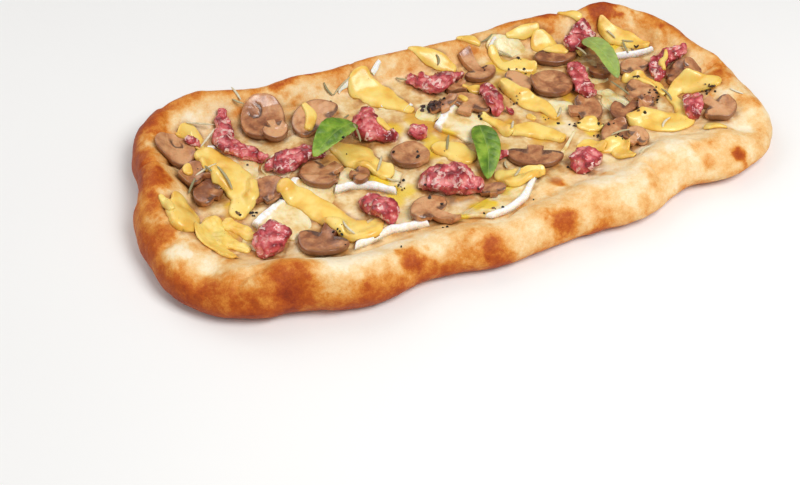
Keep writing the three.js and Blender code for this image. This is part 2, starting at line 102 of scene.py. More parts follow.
def spline(points, at, closed=False):
    """Centripetal Catmull-Rom curve through points, at counts of spans from the first one.

    Each span is the cubic through its two ends whose slopes come from the neighbours, weighted by the
    fourth root of the squared distances.
    """
    points = np.asarray(points, float)
    if closed:
        padded = np.concatenate([points[-1:], points, points[:2]])
        spans = len(points)
    else:
        padded = np.concatenate([2 * points[:1] - points[1:2], points, 2 * points[-1:] - points[-2:-1]])
        spans = len(points) - 1
    at = np.asarray(at, float)
    span = np.clip(np.floor(at).astype(int), 0, spans - 1)
    a, b, c, d = (padded[span + k] for k in range(4))
    near, here, far = (
        np.maximum(np.sum((q - p) ** 2, axis=-1, keepdims=True) ** 0.25, 1e-3)
        for p, q in ((a, b), (b, c), (c, d))
    )
    leave = ((b - a) / near - (c - a) / (near + here) + (c - b) / here) * here
    arrive = ((c - b) / here - (d - b) / (here + far) + (d - c) / far) * here
    w = (at - span).reshape(at.shape + (1,) * (points.ndim - 1))
    return b + w * leave + w**2 * (3 * (c - b) - 2 * leave - arrive) + w**3 * (2 * (b - c) + leave + arrive)


LATTICE = np.random.default_rng(11).uniform(-1, 1, (48, 48, 48))
GRAINS = np.random.default_rng(12).uniform(0, 1, (32, 32, 32, 3))


def noise(points, size, octaves=2):
    """Smooth noise of about -1 to 1: random numbers on a lattice with cells of one size, blended by
    smooth steps, and for each further octave half the size and half the height."""
    total = np.zeros(points.shape[:-1])
    for octave in range(octaves):
        q = points * (2**octave / size) + 31.7 * (octave + 1)
        cell = np.floor(q).astype(int)
        f = q - cell
        f = f * f * (3 - 2 * f)
        for corner in np.ndindex(2, 2, 2):
            weight = np.prod(np.where(corner, f, 1 - f), axis=-1)
            i = (cell + corner) % 48
            total += weight * LATTICE[i[..., 0], i[..., 1], i[..., 2]] / 2**octave
    return total


def grains(points, size):
    """Distance to the nearest of scattered points, one in each cell of a lattice, in cells."""
    q = points / size + 50.3
    cell = np.floor(q).astype(int)
    nearest = np.full(points.shape[:-1], 9.0)
    for step in np.ndindex(3, 3, 3):
        there = cell + step - 1
        i = there % 32
        centre = there + GRAINS[i[..., 0], i[..., 1], i[..., 2]]
        nearest = np.minimum(nearest, np.sum((q - centre) ** 2, axis=-1))
    return np.sqrt(nearest)


def outward(grid):
    """Unit normals of a grid of points: the cross product of the steps along rows and columns."""
    along = np.gradient(grid, axis=0)
    across = np.gradient(grid, axis=1)
    normal = np.cross(along, across)
    return normal / np.maximum(np.linalg.norm(normal, axis=-1, keepdims=True), 1e-9)


def oblong(share):
    """Edge of a rounded oblong at shares of the way round, by length: the arc's centre moves along the
    straight sides and its angle turns at the corners; the near half mirrors the far half."""
    end_x, side_y = HALF_LENGTH - CORNER, HALF_WIDTH - CORNER
    bend = CORNER * np.pi / 2
    stops = np.cumsum([0, side_y, bend, 2 * end_x, bend, side_y])
    run = np.where(share <= 0.5, share, 1 - share) * 2 * stops[-1]
    angle = np.interp(run, stops, np.array([0, 0, 1, 1, 2, 2]) * np.pi / 2)
    x = np.interp(run, stops, [end_x, end_x, end_x, -end_x, -end_x, -end_x]) + CORNER * np.cos(angle)
    y = np.interp(run, stops, [0, side_y, side_y, side_y, side_y, 0]) + CORNER * np.sin(angle)
    return x, np.where(share <= 0.5, y, -y)


def spokes(count):
    """The dough's outline: for each spoke its inner end, its direction inwards, and push, high and wide."""
    share = np.linspace(0, 1, count + 1)
    x, y = oblong(share)
    middle = np.stack([np.clip(x, -RIDGE, RIDGE), np.zeros_like(x)], axis=-1)
    edge = np.stack([x, y], axis=-1)
    reach = np.linalg.norm(middle - edge, axis=-1)
    inward = (middle - edge) / reach[:, None]
    return middle, inward, reach, *spline(RIM, share * len(RIM), closed=True).T


def relief(x, y):
    """Rise of the dough's top: a bell for each bubble or hollow and a slow ripple."""
    rise = 0.6 * np.sin(x / 11 + 1.3 * np.sin(y / 15)) * np.cos(y / 9 + x / 40)
    for bx, by, radius, height in BUBBLES:
        rise = rise + height * np.exp(-((x - bx) ** 2 + (y - by) ** 2) / radius**2)
    return rise


def dough():
    """The dough's skin as rings from the middle of its top outwards, over the rim and under it.

    The rim is the section's spline scaled by each spoke's width and height; bed and base are flat.
    Returns the points, the place across the rim in widths, and the height as a share of the rim's.
    """
    middle, inward, reach, push, high, wide = spokes(AROUND)
    across = np.array([a for a, _ in SECTION] + [1, 1.2, 1.45, 1.7])[:, None] + 0 * wide
    share = np.array([u for _, u in SECTION] + [1, 1, 1, 1])[:, None] + 0 * wide
    height = share * high
    height[len(SECTION):] = BED + TOE * np.array([1, 0.3, 0, 0])[:, None]
    controls = np.stack([across * wide - push, height, across, share], axis=-1)
    rim = spline(controls, np.linspace(len(SECTION) + 2, 1, RIM_STEPS))
    step = np.linspace(0, 1, BED_STEPS, endpoint=False)[:, None]
    inset = reach + step * (rim[0, :, 0] - reach)
    bed = np.stack([inset, BED + 0 * inset, 3 - 1.5 * step + 0 * inset, 1 + 0 * inset], axis=-1)
    step = np.linspace(1 / BASE_STEPS, 1, BASE_STEPS)[:, None]
    inset = rim[-1, :, 0] + step * (reach - rim[-1, :, 0])
    base = np.stack([inset, 0 * inset, 0.3 + 0 * inset, 0 * inset], axis=-1)
    rings = np.concatenate([bed, rim, base])
    place = middle + inward * (rings[..., :1] - reach[:, None])
    points = np.concatenate([place, rings[..., 1:2]], axis=-1)
    points[..., 2] += rings[..., 3] * relief(points[..., 0], points[..., 1])
    return points, rings[..., 2], rings[..., 3]


dough_skin, across_rim, rim_share = dough()
open_skin = smooth(0.02, 0.2, rim_share)
ruffle = 1.0 * noise(dough_skin, 31) + 0.8 * noise(dough_skin + 90, 14) + 0.22 * noise(dough_skin, 4.2)
folded = smooth(0.08, 0.3, across_rim) * smooth(1.3, 0.9, across_rim)
crease = np.exp(-((noise(dough_skin + 500, 34, 1) / 0.07) ** 2))
crease = crease * smooth(-0.1, 0.2, noise(dough_skin + 410, 40, 1))
ruffle += folded * (0.8 * np.abs(noise(dough_skin + 610, 18, 1)) - 2.6 * crease)
dough_skin += outward(dough_skin) * (open_skin * ruffle)[..., None]
dough_skin[:, -1] = dough_skin[:, 0]
dough_skin[..., 2] = np.maximum(dough_skin[..., 2], 0)

# How far each point is baked: the foot and the crest of the rim, more on its left and near side.
x, y, z = np.moveaxis(dough_skin, -1, 0)
on_rim = smooth(1.1, 0.8, across_rim)
wall = smooth(0.30, 0.05, across_rim)
leftward = smooth(60, -150, x)
foot = np.exp(-((np.maximum(z - 1, 0) / (6 + 2 * leftward)) ** 1.5)) * wall
crest = np.exp(-(((across_rim - 0.3) / 0.2) ** 2))
near_right = smooth(-90, 40, x) * smooth(10, -50, y)
far_side = smooth(20, 70, y)
toasted = 0.19 + wall * (0.18 - 0.13 * near_right + 0.16 * far_side) + foot * (0.55 - 0.01 * leftward)
toasted += crest * (0.12 - 0.06 * near_right + 0.10 * far_side)
toasted += 0.12 * wall * leftward + 0.05 * far_side * on_rim
toasted += 0.12 * smooth(-130, -190, x) * on_rim + 0.08 * smooth(185, 205, x) * on_rim
toasted += 0.12 * noise(dough_skin, 30) * (0.3 + on_rim) + 0.08 * noise(dough_skin + 40, 11) * (0.4 + on_rim)
toasted += 0.14 * on_rim * smooth(0.45, 0.8, noise(dough_skin + 70, 12)) + 0.10 * crease * folded
torn_edge = 0.9 * noise(dough_skin + 300, 6) + 0.35 * noise(dough_skin + 320, 2.5)
for sx, sy, sz, radius, darker in SCORCHED:
    away = ((x - sx) ** 2 + (y - sy) ** 2 + (z - sz) ** 2) / radius**2
    toasted += 1.1 * darker * np.exp(-((away * np.maximum(1.15 + torn_edge, 0.4)) ** 1.8))
toasted = DARKEST * np.tanh(np.maximum(toasted, 0) / DARKEST)
melted = smooth(0.82, 1.25, across_rim + 0.12 * noise(dough_skin, 10)) * smooth(5, 9, z)

# Oil that ran off the toppings: x, y, radius.
OIL = [
    (-24, 31, 8), (-9, 38, 7), (-4, 29, 8), (-10, 5, 9), (4, 13, 8), (-12, -14, 7), (20, -44, 9),
    (62, -7, 10), (76, 4, 8), (-50, -8, 9), (-38, -25, 8), (-60, 20, 12), (98, 20, 7), (66, 66, 9),
    (146, 60, 9),
    (-139, -2, 10), (0, -57, 9), (-48, -30, 8), (82, 60, 9), (159, 69, 6), (45, 7, 8), (98, -13, 8),
    (-145, 90, 5), (-135, 81, 5), (-149, -21, 6), (-177, -33, 6), (-5, 12, 8), (-20, -62, 8), (60, 48, 7),
    (120, -45, 6), (30, -10, 8), (-112, -60, 5),
]


def oily(x, y):
    """How much oil lies at a place: a bell round each pool, torn at its edge by noise."""
    flat = np.stack([x, y, 0 * x], axis=-1)
    away = np.full(x.shape, 9.0)
    for px, py, radius in OIL:
        away = np.minimum(away, np.hypot(x - px, y - py) / radius)
    return smooth(1.15, 0.55, away + 0.3 * noise(flat, 5))


class Wire:
    """A node's output in a material; arithmetic on it adds Math nodes there."""

    def __init__(self, finish, socket):
        self.finish = finish
        self.socket = socket

    def math(self, operation, a, b):
        return self.finish.add("Math", {"operation": operation}, {0: a, 1: b})

    def __add__(self, other):
        return self.math("ADD", self, other)

    def __sub__(self, other):
        return self.math("SUBTRACT", self, other)

    def __rsub__(self, other):
        return self.math("SUBTRACT", other, self)

    def __mul__(self, other):
        return self.math("MULTIPLY", self, other)

    __radd__, __rmul__ = __add__, __mul__

    def above(self, low, high):
        """0 below low, 1 above high, and a smooth step between them."""
        ends = {"From Min": low, "From Max": high}
        return self.finish.add("MapRange", {"interpolation_type": "SMOOTHSTEP"}, {"Value": self, **ends})


class Finish:
    """A node material: add makes any node, and the other methods are the few that all foods use."""

    def __init__(self, name):
        self.material = bpy.data.materials.new(name)
        self.material.use_nodes = True
        self.tree = self.material.node_tree
        self.tree.nodes.clear()

    def add(self, kind, settings, sockets, output=0):
        """A shader node of a kind: its settings first, then the values or wires of its sockets."""
        node = self.tree.nodes.new("ShaderNode" + kind)
        for name, value in settings.items():
            if name == "stops":
                ramp = node.color_ramp
                while len(ramp.elements) < len(value):
                    ramp.elements.new(1)
                for element, (place, colour) in zip(ramp.elements, value):
                    element.position = place
                    element.color = hue(colour)
            else:
                setattr(node, name, value)
        for name, value in sockets.items():
            if isinstance(value, Wire):
                self.tree.links.new(value.socket, node.inputs[name])
            else:
                node.inputs[name].default_value = value
        return Wire(self, node.outputs[output]) if node.outputs else None

    def grain(self, size, detail=2, warp=0):
        """Noise of about 0.3 to 0.7 whose blobs are size millimetres apart."""
        place = self.add("TexCoord", {}, {}, "Object")
        scale = {"Vector": place, "Scale": 1 / (size * MM), "Detail": detail, "Distortion": warp}
        return self.add("TexNoise", {}, scale)

    def cells(self, size, output="Distance"):
        """Cell pattern whose cells are size millimetres apart."""
        place = self.add("TexCoord", {}, {}, "Object")
        return self.add("TexVoronoi", {}, {"Vector": place, "Scale": 1 / (size * MM)}, output)

    def measure(self, name):
        """A number kept at the piece's vertices."""
        return self.add("Attribute", {"attribute_name": name}, {}, "Fac")

    def ramp(self, share, stops):
        return self.add("ValToRGB", {"stops": stops}, {"Fac": share})

    def blend(self, share, first, second):
        """Between two colours, each a wire or a name of one."""
        first, second = (c if isinstance(c, Wire) else hue(c) for c in (first, second))
        return self.add("Mix", {"data_type": "RGBA"}, {0: share, 6: first, 7: second}, 2)

    def finish(self, height=None, rise=1, **sockets):
        """The surface: a Principled shader, with height, a wire, raising its face by rise millimetres."""
        if height is not None:
            sockets["Normal"] = self.add("Bump", {}, {"Height": height, "Distance": rise * MM})
        sockets = {name.replace("_", " "): value for name, value in sockets.items()}
        shader = self.add("BsdfPrincipled", {}, sockets)
        self.add("OutputMaterial", {}, {"Surface": shader})
        return self.material


def hue(code):
    """A linear colour from a six-digit screen colour."""
    screen = np.array([int(code[i : i + 2], 16) for i in (0, 2, 4)]) / 255
    linear = np.where(screen <= 0.04045, screen / 12.92, ((screen + 0.055) / 1.055) ** 2.4)
    return (*linear.tolist(), 1)


outline_middle, outline_inward, outline_reach, outline_push, *_ = spokes(104)
outline = outline_middle - outline_inward * (outline_reach + outline_push)[:, None]
MIDDLE = np.append((outline.min(axis=0) + outline.max(axis=0)) / 2, 0)


def to_frame(points):
    """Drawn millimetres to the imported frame's metres."""
    return (np.asarray(points) - MIDDLE) * MM


def shown(name, data):
    """An object with a mesh, a lamp or a camera, put into the scene."""
    body = bpy.data.objects.new(name, data)
    bpy.context.scene.collection.objects.link(body)
    return body


def mesh_piece(name, sheets, material, **measures):
    """One closed mesh from grids of points in drawn millimetres that share their borders.

    A grid's cells are split into triangles, points that coincide are joined, triangles that collapse are
    dropped, and all turn over if the volume they enclose is negative. measures hold a number for each
    point of each grid and stay on the mesh.
    """
    points = np.concatenate([sheet.reshape(-1, 3) for sheet in sheets])
    faces = []
    start = 0
    for sheet in sheets:
        k = start + np.arange(sheet.shape[0] * sheet.shape[1]).reshape(sheet.shape[:2])
        a, b, c, d = (part.ravel() for part in (k[:-1, :-1], k[1:, :-1], k[1:, 1:], k[:-1, 1:]))
        faces += [np.stack([a, b, c], axis=-1), np.stack([a, c, d], axis=-1)]
        start += k.size
    faces = np.concatenate(faces)
    _, first, same = np.unique(np.round(points, 3), axis=0, return_index=True, return_inverse=True)
    faces = same.reshape(-1)[faces]
    points = points[first]
    whole = (faces != np.roll(faces, 1, axis=1)).all(axis=1)
    faces = faces[whole]
    a, b, c = (points[faces[:, i]] for i in range(3))
    if np.sum(a * np.cross(b, c)) < 0:
        faces = faces[:, ::-1]
    mesh = bpy.data.meshes.new(name)
    mesh.vertices.add(len(points))
    mesh.vertices.foreach_set("co", to_frame(points).ravel())
    mesh.loops.add(faces.size)
    mesh.loops.foreach_set("vertex_index", faces.ravel())
    mesh.polygons.add(len(faces))
    mesh.polygons.foreach_set("loop_start", np.arange(0, faces.size, 3))
    mesh.update(calc_edges=True)
    mesh.shade_smooth()
    for measure, values in measures.items():
        values = np.concatenate([np.asarray(v, float).ravel() for v in values])[first]
        mesh.attributes.new(measure, "FLOAT", "POINT").data.foreach_set("value", values)
    mesh.materials.append(material)
    return shown(name, mesh)


baked = Finish("baked_dough")
toast = baked.measure("toasted") + 0.34 * (baked.grain(8) - 0.5) + 0.22 * (baked.grain(2.4) - 0.5)
toast = toast + 0.2 * (baked.grain(0.8) - 0.5)
crumb_colour = baked.ramp(toast, [
    (0.0, "f9e9c9"), (0.14, "f5d7a4"), (0.30, "edba75"), (0.46, "db8a32"), (0.62, "ba560c"),
    (0.78, "993705"), (0.90, "782803"), (1.0, "5a1e04"),
])
melt_colour = baked.ramp(baked.grain(14, 3) + 0.25 * (baked.grain(3) - 0.5), [
    (0.30, "faeccb"), (0.42, "f2dcab"), (0.52, "e6c284"), (0.62, "cf9a56"), (0.72, "ad743c"),
])
dough_colour = baked.blend(baked.measure("melted") * 0.85, crumb_colour, melt_colour)
# Amber to brown round the toppings: juice, and painted shade under and between them.
juice_and_shade_colour = baked.ramp(baked.grain(5), [(0.4, "c4813a"), (0.6, "8a5424")])
soaked_and_shaded = baked.measure("juice") * baked.grain(9).above(0.34, 0.54) * 0.8
dough_colour = baked.blend(soaked_and_shaded, dough_colour, juice_and_shade_colour)
oil_colour = baked.ramp(baked.grain(16), [(0.42, "f0ca20"), (0.54, "dfa83c")])
dough_colour = baked.blend(baked.measure("oil") * 0.8, dough_colour, oil_colour)
dough_roughness = 0.58 - 0.36 * baked.measure("melted") - 0.15 * baked.measure("oil")
crust = mesh_piece(
    "dough", [dough_skin],
    baked.finish(
        baked.grain(2.4, 3) + 0.5 * baked.grain(0.9), 0.45,
        Base_Color=dough_colour, Roughness=dough_roughness, Specular_IOR_Level=0.28,
        Coat_Weight=baked.measure("melted") * 0.45, Coat_Roughness=0.12,
        Subsurface_Weight=0.05, Subsurface_Scale=0.003,
    ),
    toasted=[toasted], melted=[melted], oil=[oily(x, y) * melted],
)
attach(crust, "root")
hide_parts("crust")

# The map of heights: cells of half a millimetre over the whole dough.
CELL = 0.5
MAP_LOW = np.array([-216, -112])
top = np.zeros([round(-2 * low / CELL) + 1 for low in MAP_LOW[::-1]])


def refined(grid, times):
    """The same surface with times as many steps along rows and columns, by straight lines."""
    for _ in range(2):
        share = (np.arange(times) / times).reshape(-1, *(1,) * (grid.ndim - 1))
        steps = grid[:-1, None] * (1 - share) + grid[1:, None] * share
        grid = np.concatenate([steps.reshape(-1, *grid.shape[1:]), grid[-1:]]).swapaxes(0, 1)
    return grid


def pile(grid, times):
    """Raises the map to a surface wherever that is higher."""
    points = refined(grid, times).reshape(-1, 3)
    column, row = np.round((points[:, :2] - MAP_LOW) / CELL).astype(int).T
    inside = (column >= 0) & (column < top.shape[1]) & (row >= 0) & (row < top.shape[0])
    np.maximum.at(top, (row[inside], column[inside]), points[inside, 2])


def height(x, y, heights):
    """A map's height at places, between its cells by straight lines."""
    column = np.clip((x - MAP_LOW[0]) / CELL, 0, heights.shape[1] - 1.01)
    row = np.clip((y - MAP_LOW[1]) / CELL, 0, heights.shape[0] - 1.01)
    i, j = row.astype(int), column.astype(int)
    v, u = row - i, column - j
    near = heights[i, j] * (1 - u) + heights[i, j + 1] * u
    return near * (1 - v) + (heights[i + 1, j] * (1 - u) + heights[i + 1, j + 1] * u) * v


def averaged(heights, soft):
    """A map averaged over squares of a half side, twice."""
    for axis in (0, 1, 0, 1):
        steps = range(-round(soft / CELL), round(soft / CELL) + 1)
        heights = np.mean([np.roll(heights, s, axis=axis) for s in steps], axis=0)
    return heights


def blanket(reach, soft):
    """The map as something limp bridges it: the highest within reach, then averaged."""
    heights = top
    for axis in (0, 1):
        steps = range(-round(reach / CELL), round(reach / CELL) + 1)
        heights = np.max([np.roll(heights, s, axis=axis) for s in steps], axis=0)
    return averaged(heights, soft)


pile(dough_skin[: BED_STEPS + RIM_STEPS], 4)
bare_dough = top.copy()

# ---- soft cheese ----
# Slices of a soft white-rinded cheese, melted by the oven: ivory paste that slumped over the dough,
# with the chalky white rind still standing along one edge.

# Heights of the slices, of scraps without rind and of shavings of rind.
RIND, SCRAP, SHAVING = 4.4, 0.26 * 4.4, 0.4 * 4.4
# Slices: the line of the rind and the line behind it.
CHEESES = [
    ([(-160, 39), (-151, 48), (-142, 57)], [(-140, 8), (-124, 17), (-112, 38)]),
    ([(-115, -2), (-108, 4), (-101, 9)], [(-88, -28), (-80, -16), (-76, -2)]),
    ([(-136, -19), (-125, -12), (-114, -6)], [(-116, -42), (-104, -36), (-99, -22)]),
    ([(-81, -13), (-70, -12), (-57, -16), (-45, -25)], [(-70, 8), (-58, 8), (-46, 4), (-34, -8)]),
    ([(-86, -62), (-75, -60), (-64, -57), (-50, -58), (-37, -60)],
     [(-78, -45), (-68, -40), (-57, -36), (-46, -38), (-34, -43)]),
    ([(-2, -72), (13, -68), (25, -63), (33, -55), (41, -46)],
     [(-20, -60), (-12, -54), (0, -50), (12, -46), (24, -42)]),
    ([(136, 46), (154, 43), (172, 41)], [(135, 62), (150, 60), (166, 52)]),
    ([(0, 24), (8, 33), (17, 40)], [(18, -2), (28, 4), (38, 12)]),
]
# A slice's section: places from the rind's edge backwards, and the shares of its height there.
CHEESE_PLACES = [0, 0.03, 0.12, 0.16, 0.24, 0.6, 0.9, 1]
CHEESE_RISES = [0, 0.9, 1, 0.95, 0.56, 0.5, 0.36, 0]


def cheese_slice(rind, back, rise, slumped=0):
    """A slice between two lines: thick along the rind, half as thick behind it, running out to nothing.

    Where it slumped, each line across is shortened towards the ends, so that the corners are rounded.
    """
    u = np.linspace(0, 1, 56)
    v = np.sort(np.concatenate([np.linspace(0, 0.25, 16), np.linspace(0.27, 1, 30)]))
    front = spline(rind, u * (len(rind) - 1))[:, None]
    rear = spline(back, u * (len(back) - 1))[:, None]
    narrow = 1 - slumped * (1 - np.sqrt(1 - np.abs(2 * u - 1) ** 3))
    place = front + (rear - front) * (0.5 + (v - 0.5) * narrow[:, None])[..., None]
    flat = np.concatenate([place, np.zeros((*place.shape[:2], 1))], axis=-1)
    spread = np.stack([noise(flat, 9), noise(flat + 50, 9)], axis=-1)
    place = place + spread * (0.3 + 2 * slumped + 1.6 * v[:, None])
    x, y = place[..., 0], place[..., 1]
    end = np.minimum(u, 1 - u)[:, None]
    thick = rise * np.interp(v, CHEESE_PLACES, CHEESE_RISES)
    thick = thick * np.clip(end / (0.035 + 0.2 * slumped), 0, 1) ** 0.5
    thick = thick * (1 + 0.14 * noise(flat + 20, 6))
    low = height(x, y, blanket(1, 1)) - 0.3 - 0.5 * smooth(0.6, 1, v)
    over = np.stack([x, y, low + thick + 0.3], axis=-1)
    under = np.stack([x, y, low], axis=-1)
    border = thick < 1e-6
    over[border] = under[border]
    white = smooth(0.2, 0.15, v + 0.03 * noise(flat, 3)) + 0 * x
    return over, under[:, ::-1], white


cheesy = Finish("soft_cheese")
paste_colour = cheesy.ramp(cheesy.grain(8, 3), [(0.36, "f8e9c2"), (0.52, "f2d9a0"), (0.66, "e4bd74")])
paste_colour = cheesy.blend(cheesy.measure("oil") * 0.85, paste_colour, "f1cc22")
rind_colour = cheesy.ramp(cheesy.grain(2.2, 3), [(0.45, "ffffff"), (0.65, "f6eedc")])
cheese_finish = cheesy.finish(
    cheesy.grain(3, 3) + 0.4 * cheesy.measure("rind") * cheesy.grain(0.8), 0.5,
    Base_Color=cheesy.blend(cheesy.measure("rind"), paste_colour, rind_colour),
    Roughness=0.28 + 0.5 * cheesy.measure("rind") - 0.12 * cheesy.measure("oil"),
    Subsurface_Weight=0.25, Subsurface_Scale=0.003,
)
for number, (rind, back) in enumerate(CHEESES, 1):
    over, under, white = cheese_slice(rind, back, RIND)
    oil = oily(over[..., 0], over[..., 1]) * (1 - white)
    slice_of_cheese = mesh_piece(
        f"soft_cheese_{number:02}", [over, under], cheese_finish,
        rind=[white, white[:, ::-1]], oil=[oil, oil[:, ::-1]],
    )
    pile(over, 3)
    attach(slice_of_cheese, "root")
    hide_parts(f"cheese_{number:02}")


def cheese_bits(name, slices, chalky):
    """One piece from several thin slices, all rind or all paste, with oil on the paste alone."""
    sheets = [sheet for over, under, _ in slices for sheet in (over, under)]
    return mesh_piece(
        name, sheets, cheese_finish, rind=[chalky + 0 * sheet[..., 0] for sheet in sheets],
        oil=[0.4 * (1 - chalky) * oily(sheet[..., 0], sheet[..., 1]) for sheet in sheets],
    )


# Slices without their rind, thinner: two sides of each.
SCRAPS_OF_CHEESE = [
    ([(113, 20), (120, 5), (122, -8)], [(123, 19), (130, 6), (132, -6)]),
    ([(60, 80), (70, 90)], [(88, 68), (96, 78)]),
    ([(88, -8), (78, -17), (68, -26), (62, -33)], [(82, -14), (73, -24), (66, -32), (61, -36)]),
    ([(70, 12), (82, 24)], [(88, 4), (100, 14)]),
    ([(-28, 60), (-22, 64)], [(-24, 50), (-15, 54)]),
    ([(-118, 30), (-100, 40)], [(-112, 12), (-92, 18)]),
    ([(110, 6), (124, 22)], [(120, -8), (136, 4)]),
    ([(-8, 40), (6, 48)], [(2, 28), (14, 36)]),
    ([(-140, -20), (-128, -30)], [(-150, -34), (-138, -44)]),
    ([(112, 46), (126, 44)], [(118, 24), (134, 26)]),
]
melted_scraps = [cheese_slice(front, rear, SCRAP, 0.7) for front, rear in SCRAPS_OF_CHEESE]
cheese_scraps = cheese_bits("cheese_scraps", melted_scraps, 0)
for over, *_ in melted_scraps:
    pile(over, 3)
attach(cheese_scraps, "root")

# Shavings of rind: from and to.
SHAVINGS = [
    (-22, 82, -14, 88), (64, 80, 71, 85), (-47, 76, -35, 83), (97, 61, 103, 64), (-25, 55, -19, 59),
    (118, -3, 122, -9), (150, 10, 153, 4), (-12, 46, -5, 52),
]
rind_shavings = cheese_bits("rind_shavings", [
    cheese_slice([(a, b), (c, d)], [(a + 1.6, b - 1.2), (c + 1.6, d - 1.2)], SHAVING)
    for a, b, c, d in SHAVINGS
], 1)
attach(rind_shavings, "root")

# ---- mushroom slices ----
# Button mushrooms cut from top to stem and roasted: tan, moist slices with a darker skin round the cap,
# a dark arch of gills where cap and stem meet, and a short stem.

# Thickness of a slice, then shares of the cap's half width: the neck's half width, how deep the gills
# and their bend lie, how far off the slice feels what is below it, and how much the stem flares.
SLICE, NECK, GILLS, BEND, PROP, FLARE = 4, 0.28, 0.72, 0.9, 0.7, 0.07
# Points of the outline on the cap, on each arch of gills, and on each side and the end of the stem.
DOME, ARCH, STALK = 64, 20, 12
# Rings on a slice's face and round its upper edge.
FACE_RINGS, UPPER_RINGS = 18, 22
GOLDEN = (1 + 5**0.5) / 2
# Slices: x, y, the cap's half width, its depth as a share of that, the gills' depth (1: a whole disc),
# the stem's length, and the way the stem points in degrees.
MUSHROOMS = [
    (-102, 67, 15, 0.93, 1, 0, 125), (-162, 55, 12, 1, 1, 0, 75),
    (-152, 14, 12, 0.8, 0.5, 3, 320), (-157, 30, 10, 1, 0.7, 8, 330), (-68, 54, 18, 1, 0.3, 12, 300),
    (-118, 3, 11, 1.2, 0.8, 6, 200), (-82, 6, 15, 1, 0.4, 8, 15), (-100, -50, 15.5, 0.9, 0.4, 10, 50),
    (-25, 2, 11.5, 1.1, 1, 0, 0), (-32, -50, 14, 0.9, 0.4, 15, 300), (48, -27, 18, 0.6, 0.3, 4, 62),
    (49, 62, 12, 0.8, 0.3, 16, 100), (67, 42, 12, 0.9, 0.5, 5, 180), (90, 34, 13, 1.15, 1, 0, 0),
    (28, 32, 15, 0.8, 0.3, 7, 230), (107, 63, 16, 0.7, 0.4, 0, 90), (99, 3, 13, 0.9, 0.5, 6, 170),
    (150, 28, 11, 0.9, 0.3, 4, 270), (172, 12, 10, 1, 0.6, 5, 140), (142, 5, 12, 0.8, 0.6, 5, 190),
    (122, -10, 10, 1, 0.4, 8, 20), (107, -26, 12, 0.8, 0.5, 10, 310), (176, -34, 10, 1.2, 0.6, 6, 110),
]


def bent(start, middle, end, count):
    """Points on the parabola from start to end that leaves and arrives towards middle, without its end."""
    t = np.linspace(0, 1, count, endpoint=False)[:, None]
    return (1 - t) ** 2 * start + 2 * t * (1 - t) * middle + t**2 * end


def mushroom_outline(cap, depth, bulge, stem):
    """Outline of a slice: half an ellipse for the cap, then curves for gills and stem, and back; a disc
    is the whole ellipse."""
    disc = bulge == 1
    turn = np.linspace(0, 2 * np.pi, DOME + 2 * ARCH + 3 * STALK + 1)
    turn = (turn if disc else np.linspace(0, np.pi, DOME, endpoint=False))[:, None]
    dome = np.concatenate([cap * np.cos(turn), depth * cap * np.sin(turn)], axis=1)
    if disc:
        return dome
    neck, gills = NECK * cap, -GILLS * bulge * cap
    rim, hollow = np.array([cap, 0]), np.array([BEND * cap, -BEND * bulge * cap])
    root, foot = np.array([neck, gills]), np.array([neck + FLARE * stem, gills - stem])
    shin, sole = (root + foot) / 2, np.array([0, gills - stem - 0.3 * neck])
    left = np.array([-1, 1])
    return np.concatenate([
        dome, bent(rim * left, hollow * left, root * left, ARCH),
        bent(root * left, shin * left, foot * left, STALK), bent(foot * left, sole, foot, STALK),
        bent(foot, shin, root, STALK), bent(root, hollow, rim, ARCH), dome[:1],
    ])


